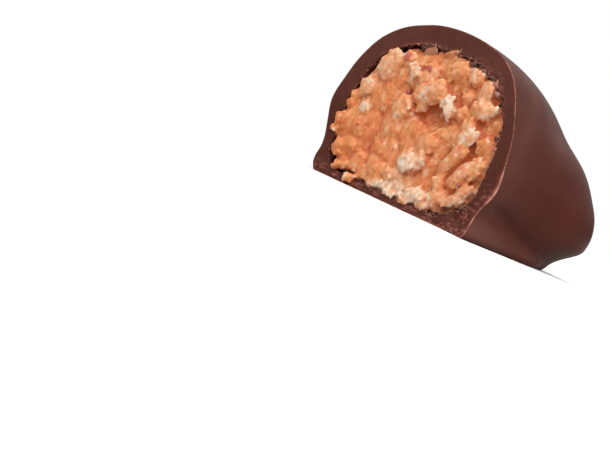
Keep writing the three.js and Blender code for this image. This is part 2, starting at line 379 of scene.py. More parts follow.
def fill(loops, points):
    """Triangles between an outer outline, its holes and the points inside."""
    flat = np.concatenate([*loops, points])
    edges, start = [], 0
    for loop in loops:
        count = len(loop)
        edges += [(start + i, start + (i + 1) % count) for i in range(count)]
        start += count
    made = delaunay_2d_cdt([Vector(p) for p in flat], edges, [], 0, 1e-7)
    origin = [first[0] if first else -1 for first in made[3]]
    if -1 in origin:
        raise RuntimeError("the outline crosses itself")
    triangles = np.array([[origin[i] for i in face] for face in made[2]])
    return triangles[within(flat[triangles].mean(axis=1), loops)]


def loose_grid(outlines, low, high, step, clear, seed):
    """A loose grid over a rectangle, where it is within outlines and clear of them."""
    random = np.random.default_rng(seed)
    u, v = np.meshgrid(np.arange(low[0], high[0], step[0]), np.arange(low[1], high[1], step[1]))
    spots = np.stack([u.ravel(), v.ravel()], axis=1)
    spots = spots + (random.random(spots.shape) - 0.5) * 0.6 * np.array(step)
    spots = spots[within(spots, outlines)]
    for outline in outlines:
        spots = spots[distance_to(spots, outline) > clear]
    return spots


def give(mesh, name, values):
    """Stores a number or a vector for each point of a mesh, for nodes to read."""
    values = np.float32(values)
    kind, item = ("FLOAT", "value") if values.ndim == 1 else ("FLOAT_VECTOR", "vector")
    mesh.attributes.new(name, kind, "POINT").data.foreach_set(item, values.ravel())


def leaning(lean):
    """A turn that leans points from +Z towards +X and sets their flat side outwards."""
    tilt = math.radians(lean)
    return np.array([[math.cos(tilt), 0, -math.sin(tilt)], [0, -1, 0],
                     [math.sin(tilt), 0, math.cos(tilt)]])


# %% [markdown]
# ## The dipped coating
# On the real bar this is one skin of dark chocolate, poured over the filling and cooled on a
# wire belt. It could be a lathe or a sculpt, but the wall follows a rule, so a grid of
# heights and directions makes it exactly. The wall, the cavity, the broken band between them
# and the underside share their edge points, so the skin is closed.

# %% Grids of the wall and of the cavity
def even_columns(form, extra, height, count):
    """Directions that step evenly along the outline at one height."""
    fine = np.linspace(0, math.pi, 4000)
    x, y = plan_point(fine, np.full_like(fine, height), form, extra(fine, height))
    walked = np.concatenate([[0], np.cumsum(np.hypot(np.diff(x), np.diff(y)))])
    return np.interp(np.linspace(0, walked[-1], count), walked, fine)


def heights(form, foot_top, low_count, high_count):
    """Even steps up the foot, then closing in over the dome. The top itself is left out."""
    low = form["base"] + foot_top * np.arange(low_count) / low_count
    start = math.asin((foot_top / form["height"]) ** 2)
    turns = start + (math.pi / 2 - start) * np.arange(high_count) / high_count
    return np.concatenate([low, form["base"] + form["height"] * np.sqrt(np.sin(turns))])


def half_skin(form, levels, angles, extra, cut, fade):
    """Points of a half form, level by level, whose front edge follows the cut."""
    z, angle = np.meshgrid(levels, angles, indexing="ij")
    x, y = plan_point(angle, z, form, extra(angle, z))
    y = y + cut(x, z) * bell(y, fade)
    return np.stack([x, y, z], axis=2)


def grid_triangles(rows, columns, start):
    """Two triangles for each cell of a grid of points."""
    at = start + np.arange(rows * columns).reshape(rows, columns)
    a, b, c, d = at[:-1, :-1], at[:-1, 1:], at[1:, 1:], at[1:, :-1]
    return np.concatenate([np.stack(t, axis=2).reshape(-1, 3) for t in ((a, b, c), (a, c, d))])


# Directions are spaced for the outline at this height; two more lie close to the cut
SPACED_AT, CLOSE_TO_CUT = 8.0, 0.005
wall_levels = heights(OUTER, foot_top=9, low_count=62, high_count=74)
wall_angles = even_columns(OUTER, foot_reach, SPACED_AT, count=281)
wall_angles = np.sort(np.concatenate([wall_angles, [CLOSE_TO_CUT, math.pi - CLOSE_TO_CUT]]))


def creased_reach(angle, z):
    """The foot's reach with a narrow crease above its right corner, too fine for the CAD."""
    degrees = np.degrees(angle)
    crease = bell(z - 4.5 + 0.075 * (degrees - 10.8), 0.7) * smooth(degrees, 2, 11)
    return foot_reach(angle, z) - 0.3 * crease * (1 - smooth(degrees, 34, 50))


wall = half_skin(OUTER, wall_levels, wall_angles, creased_reach, coating_cut, fade=5)
wall[0, :, 2] = belt_mark(wall[0, :, 1])
cavity_levels = heights(CAVITY, foot_top=4, low_count=24, high_count=80)
cavity_angles = even_columns(CAVITY, lambda a, z: edge_reach(a, z, CAVITY), SPACED_AT, count=61)


def cavity_reach(angle, z):
    """The cavity's edge, left ragged where the coconut tore out of it."""
    front = bell(np.minimum(angle, math.pi - angle), 0.09)
    ragged = 0.22 * bumps(z / 0.7 + 9 * (angle > 1.5), z * 0) + 0.14 * bumps(z / 0.33, z * 0 + 4)
    ragged = ragged * smooth(z, 1.2, 2) * (1 - smooth(z, 18.5, 20))
    return edge_reach(angle, z, CAVITY) + front * ragged


cavity = half_skin(CAVITY, cavity_levels, cavity_angles, cavity_reach, coating_cut, fade=1.5)
print("wall grid:", wall.shape[:2], "cavity grid:", cavity.shape[:2])


# %% Closed skins, piece by piece
class Skin:
    """Collects the points and triangles of one closed surface."""

    def __init__(self):
        self.points, self.triangles = np.zeros((0, 3)), []

    def add_points(self, new):
        """Adds points and returns their numbers."""
        new = np.asarray(new, float).reshape(-1, 3)
        start = len(self.points)
        self.points = np.concatenate([self.points, new])
        return start + np.arange(len(new))

    def half_form(self, grid, top):
        """Adds a grid with a top point; returns its right, left and foot edges and its top."""
        rows, columns = grid.shape[:2]
        at = self.add_points(grid).reshape(rows, columns)
        top = self.add_points([top])
        self.triangles.append(grid_triangles(rows, columns, at[0, 0]))
        fan = [at[-1, :-1], at[-1, 1:], np.full(columns - 1, top[0])]
        self.triangles.append(np.stack(fan, axis=1))
        return at[:, 0], at[:, -1], at[0, :], top

    def patch(self, loops, new, axes):
        """Fills flat outlines with new points, seen along the axis that is left out."""
        own = self.add_points(new)
        outlines = [self.points[loop][:, axes] for loop in loops]
        order = np.concatenate([*loops, own])
        self.triangles.append(order[fill(outlines, self.points[own][:, axes])])
        return own


def level(z):
    """The height of a level base, for any place on it."""
    return lambda y: np.full_like(y, z)


def front_line(skin, foot, z, step, cut, height):
    """Adds points along the base of a cut, between the two ends of a form's foot."""
    right, left = skin.points[foot[0], 0], skin.points[foot[-1], 0]
    x = np.linspace(right, left, int((right - left) / step) + 1)[1:-1]
    y = cut(x, np.full_like(x, z))
    return skin.add_points(np.stack([x, y, height(y)], axis=1))


def close_below(skin, foot, line, step, seed, height):
    """Closes a form from below, between its foot and the base line of its cut."""
    loop = np.concatenate([foot, line[::-1]])
    spots = loose_grid([skin.points[loop][:, :2]], (-17, -4), (17, 29), step, 0.16, seed)
    skin.patch([loop], np.column_stack([spots, height(spots[:, 1])]), [0, 1])


# %% Wall and cavity of the coating
coat = Skin()
wall_right, wall_left, wall_foot, wall_top = coat.half_form(
    wall, (-LEAN, coating_cut(-LEAN, HEIGHT), HEIGHT))
cavity_top = CAVITY["base"] + CAVITY["height"]
hole_right, hole_left, hole_floor, hole_top = coat.half_form(
    cavity, (-LEAN, coating_cut(-LEAN, cavity_top), cavity_top))
foot_line = front_line(coat, wall_foot, 0, 0.22, coating_cut, belt_mark)
floor_line = front_line(coat, hole_floor, BASE_COATING, 0.3, coating_cut, level(BASE_COATING))
print("points along the base of the cut:", len(foot_line), "and", len(floor_line))

# %% Spots on the broken band between them
BAND_STEP = 0.2
outer_loop = np.concatenate([wall_left, wall_top, wall_right[::-1], foot_line])
inner_loop = np.concatenate([hole_left, hole_top, hole_right[::-1], floor_line])
outer_flat, inner_flat = coat.points[outer_loop][:, [0, 2]], coat.points[inner_loop][:, [0, 2]]
spots = loose_grid(
    [outer_flat, inner_flat], (-17, 0), (17, 23), (BAND_STEP, BAND_STEP), clear=0.09, seed=5)
to_rim, to_hole = distance_to(spots, outer_flat), distance_to(spots, inner_flat)
band_x, band_z = spots.T
print("spots on the broken band:", len(spots))

# %% Relief of the broken band
# The lower right corner broke into facets
broken_corner = bell(band_x - 12.4, 3.0) * bell(band_z - 2.6, 3.6)
facets = np.abs(bumps(band_x / 1.1 + 3, band_z / 1.0))
facets = facets + 0.5 * np.abs(bumps(band_x / 0.5, band_z / 0.6 + 7))
# The edge of the cavity crumbled in patches, widest at the upper right
crumbled_width = 0.55 + 1.1 * bell(band_x - 8, 3.5) * bell(band_z - 19.5, 2.5)
patchy = 0.35 + 0.65 * smooth(bumps(band_x / 1.7, band_z / 1.7), -0.6, 0.3)
crumbly = smooth(crumbled_width - to_hole, 0, 0.5) * patchy
base_crumbs = bell(band_z - 0.5, 0.9) * smooth(to_rim, 0, 0.25)
relief = 0.03 * bumps(band_x / 0.5, band_z / 2.4) - 0.06 * bell(to_rim, 0.16)
relief += 0.40 * broken_corner * (facets - 0.3) * smooth(to_rim, 0, 0.3)
relief += 0.16 * crumbly * bumps(band_x / 0.42, band_z / 0.42) * smooth(to_hole, 0, 0.15)
relief += 0.12 * base_crumbs * bumps(band_x / 0.6, band_z / 0.4 + 5)
band_points = np.stack([band_x, coating_cut(band_x, band_z) + relief, band_z], axis=1)
band = coat.patch([outer_loop, inner_loop], band_points, [0, 2])
print("relief of the band, mm:", round(relief.min(), 2), "to", round(relief.max(), 2))


# %% Underside and cavity floor
# The wires' marks need a fine step from front to back; a level base doesn't
MARKED_STEP, BASE_STEP = (0.75, 0.2), (1.2, 1.2)
close_below(coat, wall_foot, foot_line, MARKED_STEP, 8, belt_mark)
close_below(coat, hole_floor, floor_line, BASE_STEP, 9, level(BASE_COATING))

# The CAD shapes the bar with its cut at y = 0 and then centres it over the origin
PLACE = np.array([0.058, -12.084, 0.0])
coating = mesh_object("dipped_chocolate", coat.points + PLACE, np.concatenate(coat.triangles))
print("coating points:", len(coat.points))

# %% [markdown]
# The triangles of the four surfaces wind in different turns, so their directions are made to
# agree, outwards, on the closed skin. Then each point gets the numbers that the material
# reads: where the chocolate is broken, where its thin rim gets a painted pale highlight, where
# it crumbled, and where fat bloomed on it, with a painted sheen over the same places.

# %% Direction of the faces and sharp edges
SHARPER_THAN = math.radians(48)
skin = bmesh.new()
skin.from_mesh(coating.data)
bmesh.ops.recalc_face_normals(skin, faces=skin.faces)
open_edges = sum(1 for e in skin.edges if len(e.link_faces) != 2)
skin_volume = skin.calc_volume(signed=True)
skin.to_mesh(coating.data)
skin.free()
coating.data.shade_smooth()
coating.data.set_sharp_from_angle(angle=SHARPER_THAN)
print("open edges:", open_edges, "volume, mm3:", round(skin_volume / MM ** 3))


# %% Where the coating is broken, where its rim gets a painted highlight, and where it crumbled
def under_the_top(x, z):
    """Where a painted pale highlight runs along the top of the cavity, on its left."""
    return smooth(z, 19, 20) * smooth(-x, -4, 0)


edge = coat.points[inner_loop]
edge_x, edge_z = edge[:, 0], edge[:, 2]
broken, rim, crumbs, bloom = np.zeros((4, len(coat.points)))
broken[band] = 1
broken[inner_loop] = 1
broken[outer_loop] = 0.5
# The rim's painted highlight is full on the right and about half as strong on the left
shows = 0.45 + 0.55 * smooth(coat.points[:, 0], 0, 9)
rim_highlight_width = 0.11 + 0.4 * bell(band_x - 14, 2) * bell(band_z - 6.5, 3)
top_highlight_line = 0.8 * bell(to_hole, 0.12) * under_the_top(band_x, band_z)
rim[band] = np.maximum(shows[band] * bell(to_rim, rim_highlight_width), top_highlight_line)
rim[outer_loop] = shows[outer_loop]
rim[inner_loop] = 0.9 * under_the_top(edge_x, edge_z)
corner_chips = bell(band_x - 13.5, 1.4) * bell(band_z - 5.4, 1.0)
crumbs[band] = np.clip(crumbly + 0.8 * base_crumbs + 1.2 * broken_corner * facets
                       + 0.9 * corner_chips, 0, 1)
crumbs[inner_loop] = 0.8
print("points of the broken band:", int((broken == 1).sum()))

# %% Where fat bloomed, with painted sheen and painted shade
degrees, z = np.degrees(np.tile(wall_angles, len(wall_levels))), wall[:, :, 2].ravel()
# Everywhere a little, but not on the hollow side of the foot, which stays darker as painted shade
wall_bloom_and_sheen = 0.3 * (1 - bell(degrees - 57, 25) * bell(z - 5, 7))
# Painted sheen: a streak that leans over the shoulder, a lit band beside the cut and one along
# the foot
sheen_streak = bell(degrees - 9 - 2.4 * (z - 13.5), 5)
wall_bloom_and_sheen += 0.5 * sheen_streak * smooth(z, 10, 13) * (1 - smooth(z, 19, 21.5))
wall_bloom_and_sheen += 0.8 * bell(degrees, 14) * (1 - smooth(z, 11, 16))
wall_bloom_and_sheen += 0.7 * bell(degrees - 14, 18) * (1 - smooth(z, 1.5, 3.2))
bloom[:len(wall_bloom_and_sheen)] = np.clip(wall_bloom_and_sheen, 0, 1)
# On the broken band, the same paler colour, more towards its top and at the upper right
bloom[band] = 0.65 * smooth(band_z, 8, 18) + 0.35 * bell(band_x - 8, 4) * bell(band_z - 19.5, 3)
for name, values in (("broken", broken), ("rim", rim), ("crumbs", crumbs), ("bloom", bloom)):
    give(coating.data, name, values)
print("coating triangles:", len(coating.data.polygons))

# %% [markdown]
# ## Dark chocolate
# Tempered dark chocolate that set in air: cocoa butter gives it a satin gloss, its index of
# refraction is about 1.46, and it is slightly cloudy where fat bloomed, with a paler sheen
# painted over the same places. Where it broke, it is redder and duller, the thin rim gets a
# painted pale highlight where it would catch and let through light, and crumbs of fat and sugar
# look pink.

# %% Material of the coating: colour of the wall, of the break and the painted highlight of its thin rim
CHOCOLATE_IOR = 1.46
# Darker and paler colours of the wall, of the break, and of the painted highlight along the thin
# rim
CHOCOLATES = [("#461e16", "#4f241b"), ("#49231c", "#532d24"), ("#9a4c3c", "#cd9382")]
chocolate, tree, shader = principled("dark chocolate, dipped")
place = add_node(tree, "ShaderNodeTexCoord").outputs["Object"]
broken_here, bloom_and_sheen_here, crumbs_here, rim_highlight_here = (
    add_node(tree, "ShaderNodeAttribute", {"attribute_name": name}).outputs["Fac"]
    for name in ("broken", "bloom", "crumbs", "rim"))
cloudy = patches(tree, place, size=7, low=0.38, high=0.64)
grainy = patches(tree, place, size=0.9, low=0.35, high=0.7, detail=4, roughness=0.65)
rim_highlight_level = add_node(tree, "ShaderNodeMapRange", {
    "From Min": 0.45, "From Max": 0.95, "Value": rim_highlight_here})
wall_colour, broken_colour, rim_highlight_colour = (
    add_node(tree, "ShaderNodeMix", {
        "data_type": "RGBA", 0: mask, 6: linear(dark), 7: linear(pale)}).outputs[2]
    for (dark, pale), mask in zip(CHOCOLATES, (cloudy, grainy, rim_highlight_level)))
print("colours of chocolate:", CHOCOLATES)

# %% Material of the coating: where crumbs, bubbles and the rim's painted highlight show
BUBBLE_SPACING = 1.3
streaky = add_node(tree, "ShaderNodeMapping", {"Scale": (1.0, 1.0, 2.4), "Vector": place})
speckled = patches(tree, streaky, size=1.0, low=0.5, high=0.68, detail=5, roughness=0.72)
bubbles = add_node(tree, "ShaderNodeTexVoronoi", {
    "Scale": per_mm(BUBBLE_SPACING), "Vector": place})
bubbles = add_node(tree, "ShaderNodeMapRange", {
    "From Min": 0.085, "From Max": 0.05, "Value": bubbles.outputs["Distance"]})
bubbly = patches(tree, place, size=2.1, low=0.48, high=0.55, detail=2)
uneven = patches(tree, place, size=1.6, low=0.35, high=0.6, bottom=0.25)
crumb_mask, some_bubbles, rim_highlight_mask = (
    add_node(tree, "ShaderNodeMath", {"operation": "MULTIPLY", 0: pattern, 1: where})
    for pattern, where in ((speckled, crumbs_here), (bubbles, bubbly), (uneven, rim_highlight_here)))
bubble_mask = add_node(tree, "ShaderNodeMath", {
    "operation": "MULTIPLY", 0: some_bubbles, 1: broken_here})

# %% Material of the coating: one colour over another
colour = add_node(tree, "ShaderNodeMix", {
    "data_type": "RGBA", 0: broken_here, 6: wall_colour, 7: broken_colour}).outputs[2]
# Paler where fat bloomed and sheen is painted, then pink crumbs and bubbles
for mask, over_it in ((bloom_and_sheen_here, "#59322a"), (crumb_mask, "#995b50"), (bubble_mask, "#8a6058")):
    colour = add_node(tree, "ShaderNodeMix", {
        "data_type": "RGBA", 0: mask, 6: colour, 7: linear(over_it)}).outputs[2]
# Last, the painted pale highlight along the thin rim, broken up by noise
colour = add_node(tree, "ShaderNodeMix", {
    "data_type": "RGBA", 0: rim_highlight_mask, 6: colour, 7: rim_highlight_colour}).outputs[2]
set_up(shader, {"Base Color": colour, "IOR": CHOCOLATE_IOR, "Specular IOR Level": 0.1})

# %% Material of the coating: gloss and small dents
satin = patches(tree, place, size=3, low=0.3, high=0.7, bottom=0.34, top=0.44, detail=4)
dull = add_node(tree, "ShaderNodeMapRange", {
    "From Min": 0.5, "To Max": 0.14, "Value": broken_here})
roughness = add_node(tree, "ShaderNodeMath", {"operation": "ADD", 0: satin, 1: dull})
# Dents and pores: how wide, in millimetres, how fine their detail, how strong and how deep
SMALL_RELIEF = [(2.6, 2, 0.35, 0.12), (0.28, 3, 0.25, 0.03)]
below = {}
for size, detail, strength, depth in SMALL_RELIEF:
    noise = add_node(tree, "ShaderNodeTexNoise", {
        "Scale": per_mm(size), "Detail": detail, "Vector": place})
    bump = add_node(tree, "ShaderNodeBump", {
        "Strength": strength, "Distance": depth * MM, "Height": noise, **below})
    below = {"Normal": bump}
set_up(shader, {"Roughness": roughness, "Normal": bump})
coating.data.materials.append(chocolate)
print("material:", chocolate.name, "with", len(tree.nodes), "nodes")

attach(coating, "root")
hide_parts("chocolate_coating")

# %% [markdown]
# ## The torn filling
# Toasted coconut is pressed into a bar while it is warm and sticky. When the bar is pulled
# apart, it tears round its clumps: some stay and stand out, some leave a pit. So the face is
# built as it formed. Clumps lie on a rough body, flakes and crumbs are laid over both with
# their grain running up the bar, and a voxel remesh fuses everything into one moist mass.

# %% Clumps that stand out of the tear
# x, z, half their width, half their height, lean towards +X in degrees, how far they stand
# out of the cut, and how pale they are (0 is well toasted, 1 is white)
CLUMPS = [
    (-8.6, 16.3, 1.6, 2.3, 29, 1.2, 0.70), (-6.3, 17.8, 1.0, 1.1, -69, 0.6, 0.48),
    (-4.1, 16.5, 0.9, 1.1, -30, 1.1, 0.85), (-1.8, 17.2, 0.9, 1.1, 83, 0.8, 0.52),
    (-0.2, 20.0, 0.6, 1.5, 65, 0.2, 0.50), (2.0, 18.3, 1.4, 2.2, 58, 0.8, 0.56),
    (5.2, 18.2, 1.1, 1.2, 13, 0.6, 0.60), (7.6, 17.3, 1.1, 1.5, -8, 0.7, 0.68),
    (8.0, 14.7, 1.2, 1.5, 72, 0.9, 0.60), (9.6, 15.2, 0.5, 0.8, 72, 0.6, 0.85),
    (-0.1, 14.7, 1.4, 2.4, 62, 1.6, 0.60), (-2.0, 16.0, 0.9, 1.2, 66, 0.9, 0.66),
    (5.0, 15.5, 0.9, 1.0, -60, 0.4, 0.40), (3.3, 13.8, 0.7, 1.4, -27, 1.2, 1.00),
    (2.2, 13.9, 0.4, 0.8, -78, 0.9, 0.80), (5.7, 13.3, 1.1, 1.2, -46, 0.5, 0.36),
    (7.9, 11.2, 0.7, 1.4, 52, 1.2, 0.97), (7.2, 12.3, 0.8, 1.0, 61, 0.9, 0.68),
    (10.2, 10.9, 0.9, 1.1, -16, 0.4, 0.40), (6.2, 10.5, 1.1, 1.2, -26, 0.5, 0.45),
    (-6.9, 12.3, 1.2, 2.2, 9, 0.5, 0.36), (-10.7, 12.6, 1.2, 1.5, 53, 0.9, 0.72),
    (-12.4, 11.0, 0.6, 0.7, -78, 0.6, 0.38), (-12.5, 9.8, 0.6, 0.8, -81, 0.5, 0.32),
    (-9.8, 10.0, 0.6, 0.8, 40, 0.6, 0.98), (-6.0, 14.8, 0.9, 0.9, 11, 0.4, 0.40),
    (-3.4, 11.6, 1.6, 1.9, -3, 1.4, 0.56), (-3.8, 8.9, 1.7, 2.0, 4, 1.2, 0.50),
    (-4.1, 6.0, 1.5, 2.0, 5, 1.0, 0.40), (-3.9, 3.6, 1.4, 1.5, -23, 0.9, 0.45),
    (-8.3, 8.8, 0.9, 0.9, 0, 0.5, 0.34), (-9.4, 7.2, 1.3, 1.5, 81, 0.8, 0.28),
    (-12.5, 7.6, 1.2, 1.3, -68, 0.8, 0.32), (-13.1, 6.0, 0.6, 0.7, -69, 0.6, 0.46),
    (-10.9, 4.1, 1.0, 1.3, -39, 0.9, 0.42), (-11.6, 3.5, 0.6, 0.8, -63, 0.7, 0.42),
    (-9.2, 4.8, 1.1, 1.3, -15, 0.6, 0.36), (-7.1, 3.3, 0.9, 1.5, 19, 0.7, 0.42),
    (-9.2, 2.0, 0.5, 2.0, 68, 0.9, 0.45), (-5.7, 2.2, 0.9, 1.0, 43, 0.6, 0.46),
    (-6.9, 0.85, 0.65, 0.9, 82, 1.7, 0.55), (-1.9, 1.9, 0.7, 2.7, 78, 0.9, 0.97),
    (-3.9, 1.8, 0.6, 1.3, 87, 0.5, 0.62), (-0.8, 3.5, 0.7, 1.5, 79, 0.8, 0.70),
    (3.9, 2.3, 0.8, 2.1, 79, 0.9, 0.97), (1.3, 1.4, 0.5, 1.2, 84, 0.5, 0.80),
    (0.9, 5.7, 1.4, 1.6, 86, 1.4, 1.00), (2.5, 6.7, 0.9, 1.1, -9, 1.0, 0.72),
    (2.2, 8.5, 1.3, 1.9, 51, 1.0, 0.52), (-0.3, 9.5, 1.1, 1.4, -11, 0.4, 0.38),
    (-0.5, 7.5, 1.2, 1.3, -44, 0.5, 0.40), (-0.6, 5.4, 0.9, 1.1, -10, 0.5, 0.42),
    (7.0, 7.9, 1.0, 2.9, 27, 0.9, 0.52), (9.2, 6.7, 1.0, 2.5, 28, 0.8, 0.56),
    (6.3, 4.7, 0.9, 1.1, 24, 0.7, 0.52), (6.7, 3.0, 0.9, 1.5, 64, 0.6, 0.55),
    (10.7, 8.1, 0.9, 1.6, 0, 0.5, 0.60), (9.3, 3.4, 0.7, 1.9, 63, 0.6, 0.76),
    (10.6, 5.2, 0.8, 1.2, 58, 0.5, 0.62), (6.7, 1.9, 0.5, 1.2, 81, 0.4, 0.72),
    (-0.9, 12.7, 0.6, 0.8, -15, 0.8, 0.54), (3.5, 10.4, 0.8, 1.2, 56, 0.3, 0.38),
    (-3.2, 1.3, 0.5, 1.3, 86, 0.8, 0.85), (-0.2, 1.1, 0.5, 1.2, 84, 0.8, 0.90),
    (2.6, 1.2, 0.5, 1.4, 88, 0.8, 0.80), (5.4, 1.4, 0.5, 1.1, 84, 0.7, 0.72),
]
print("clumps that stand out:", len(CLUMPS))

# %% Pits and cracks between them
# x, z, half their width, half their height, lean, how deep
PITS = [
    (1.4, 12.1, 1.7, 2.1, -88, 1.9), (3.4, 15.5, 0.5, 0.9, -14, 1.5),
    (-4.0, 13.8, 0.7, 0.8, -89, 1.3), (-6.5, 7.1, 0.5, 2.7, 1, 0.8),
    (-6.8, 4.1, 0.5, 1.4, 8, 0.7), (4.7, 5.7, 0.4, 1.7, 11, 1.2), (5.9, 8.5, 0.4, 1.2, 28, 0.9),
    (9.9, 12.3, 0.5, 0.8, -10, 0.9), (-3.2, 20.0, 0.6, 2.4, 68, 1.7),
    (6.6, 19.5, 0.8, 2.5, -66, 3.0), (-8.6, 18.1, 0.7, 1.9, 36, 1.3),
    (-1.1, 12.1, 0.4, 1.1, -18, 1.0), (6.1, 15.3, 0.2, 0.9, 83, 0.8),
    (7.3, 13.8, 0.2, 1.0, 89, 0.7), (-6.9, 10.2, 0.4, 1.1, 8, 0.6),
    (-11.4, 2.5, 0.4, 0.9, 68, 1.2), (-8.8, 1.0, 0.4, 1.9, 79, 1.3),
    (-0.7, 6.0, 0.3, 0.9, -12, 0.7), (8.6, 9.4, 0.3, 0.9, 33, 0.7),
]
# The shreds of the whole filling lean a little towards +X
MEAN_LEAN = 4


def turned(x, z, x0, z0, lean):
    """Coordinates across and along something that leans."""
    c, s = math.cos(math.radians(lean)), math.sin(math.radians(lean))
    return (x - x0) * c - (z - z0) * s, (x - x0) * s + (z - z0) * c


def filling_front(x, z):
    """How far behind the cut the rough body lies; at the right it fell back most."""
    u, v = turned(x, z, 0, 0, MEAN_LEAN)
    depth = 0.1 + 0.3 * bumps(u / 2.4 + 5, v / 3.6 + 2) + 0.16 * bumps(u / 0.9, v / 2.2)
    for x0, z0, across, up, lean, pit in PITS:
        u, v = turned(x, z, x0, z0, lean)
        depth = depth + pit * bell(u, across) * bell(v, up)
    return depth + 0.5 * smooth(x, 2, 9)


print("pits and cracks:", len(PITS))

# %% Rough body of the filling
FACE_STEP = 0.35
filling_levels = heights(FILLING, FILLING_EDGE_RADIUS, low_count=10, high_count=26)
filling_angles = even_columns(
    FILLING, lambda a, z: edge_reach(a, z, FILLING), SPACED_AT, count=61)


def filling_reach(angle, z):
    """The filling's edge, which smears over the gap at the right end of the cut."""
    return edge_reach(angle, z, FILLING) + 0.45 * bell(angle, 0.09)


filling_grid = half_skin(FILLING, filling_levels, filling_angles, filling_reach, filling_front,
                         fade=3)
heap = Skin()
base, filling_top = FILLING["base"], FILLING["base"] + FILLING["height"]
right, left, foot, top = heap.half_form(
    filling_grid, (-LEAN, filling_front(-LEAN, filling_top), filling_top))
base_line = front_line(heap, foot, base, 0.6, filling_front, level(base))
face_loop = np.concatenate([left, top, right[::-1], base_line])
face_outline = heap.points[face_loop][:, [0, 2]]
spots = loose_grid(
    [face_outline], (-14, 1), (13, 21), (FACE_STEP, FACE_STEP), clear=0.15, seed=11)
x, z = spots.T
heap.patch([face_loop], np.stack([x, filling_front(x, z), z], axis=1), [0, 2])
close_below(heap, foot, base_line, BASE_STEP, 12, level(base))
print("body of the filling:", len(heap.points), "points")

# %% [markdown]
# A clump is a ball of coconut, squared off and dented. Body and clumps are fused by a voxel
# remesh, which wraps one closed skin round everything. It is done in millimetres, on scratch
# copies, and a little smoothing gives the moist, rounded look.

# %% Clumps
def ball(subdivisions):
    """Points and triangles of a round ball."""
    made = bmesh.new()
    bmesh.ops.create_icosphere(made, subdivisions=subdivisions, radius=1)
    spots = np.array([v.co for v in made.verts])
    faces = np.array([[v.index for v in f.verts] for f in made.faces])
    made.free()
    return spots, faces


def lump(random, spots, half_sizes, squared, dented, bend):
    """The points of one shred or clump, its length along Z and its flat side along Y."""
    shape = np.sign(spots) * np.abs(spots) ** squared
    waves = random.normal(size=(3, 3)) * 2.2
    dents = np.sin(spots @ waves + random.random(3) * 6.28).sum(axis=1) / 3
    shape = shape * (1 + dented * dents)[:, None] * half_sizes
    shape[:, 1] += bend * (shape[:, 2] ** 2 - half_sizes[2] ** 2 / 3)
    return shape


# Share of a clump's room that its ball takes, and of its standing out that is left once
# shreds lie on it
CLUMP_FILLS, CLUMPS_STAND_OUT = 0.93, 0.8
random = np.random.default_rng(23)
round_ball, round_faces = ball(3)
parts, faces, start = [heap.points], [np.concatenate(heap.triangles)], len(heap.points)
for x0, z0, across, up, lean, out, pale in CLUMPS:
    thick = 0.5 + 0.45 * min(across, up)
    half_sizes = np.array([across, thick, up]) * CLUMP_FILLS
    shape = lump(random, round_ball, half_sizes, squared=0.72, dented=0.20, bend=0)
    parts.append(shape @ leaning(lean) + (x0, thick - CLUMPS_STAND_OUT * out, z0))
    faces.append(round_faces + start)
    start += len(shape)
print("points of body and clumps:", start)


# %% Fuse body and clumps
def read(mesh, name):
    """The numbers or vectors that a mesh keeps for its points under a name."""
    held = mesh.attributes[name]
    item, width = ("vector", 3) if held.data_type == "FLOAT_VECTOR" else ("value", 1)
    values = np.zeros(len(held.data) * width, np.float32)
    held.data.foreach_get(item, values)
    return values.reshape(-1, width).squeeze().astype(float)


def evaluated(thing):
    """A plain mesh of an object with its modifiers; the object is removed."""
    live = thing.evaluated_get(bpy.context.evaluated_depsgraph_get())
    mesh = bpy.data.meshes.new_from_object(live)
    bpy.data.objects.remove(thing)
    return mesh


def fuse(thing, voxel, smoothing):
    """Wraps one smooth skin round all that an object holds."""
    wrap = thing.modifiers.new("wrap", "REMESH")
    wrap.mode = "VOXEL"
    wrap.voxel_size = voxel
    moist = thing.modifiers.new("moist", "SMOOTH")
    moist.factor = 0.6
    moist.iterations = smoothing
    return evaluated(thing)


rough = mesh_object("mass", np.concatenate(parts), np.concatenate(faces), scale=1.0)
mass = fuse(rough, voxel=0.3, smoothing=2)
print("fused mass:", len(mass.vertices), "points")

# %% [markdown]
# The mass now says where shreds may lie: on its torn front, not on its hidden sides. It also
# carries how well toasted it is, blended from clump to clump, and which way its grain runs:
# up the bar, fanning a little, because the two halves were pulled apart.

# %% How pale the coconut is
PALE_BETWEEN, BETWEEN_COUNTS = 0.4, 0.3


def paleness(x, z):
    """How pale the coconut is at a place on the cut, blended from the clumps near it."""
    weight = np.full(x.shape, BETWEEN_COUNTS)
    total = weight * PALE_BETWEEN
    for x0, z0, across, up, lean, out, pale in CLUMPS:
        u, v = turned(x, z, x0, z0, lean)
        near = np.exp(-((u / across) ** 2 + (v / up) ** 2) * 1.3) * (1 + out)
        weight, total = weight + near, total + near * pale
    return total / weight


spots = read(mass, "position")
x, y, z = spots.T
tone = 0.55 + 1.15 * (paleness(x, z) - 0.5)
print("tone of the mass:", round(float(tone.min()), 2), "to", round(float(tone.max()), 2))

# %% Where the shreds may lie, and which way
on_the_cut = inside(spots[:, [0, 2]], face_outline)
to_edge = distance_to(spots[:, [0, 2]], face_outline)
_, facing_back, facing_up = np.array([v.normal for v in mass.vertices]).T
# Crumbs lie wherever the front is bare; shreds need room, and would stand up on a level place
clear = on_the_cut & (to_edge > 0.3) | (y < -0.3)
bare = (y < 3.2) & (facing_back < 0.45) & clear & (z > 0.5)
roomy = bare & on_the_cut & (to_edge > 0.9) & (np.abs(facing_up) <= 0.75)
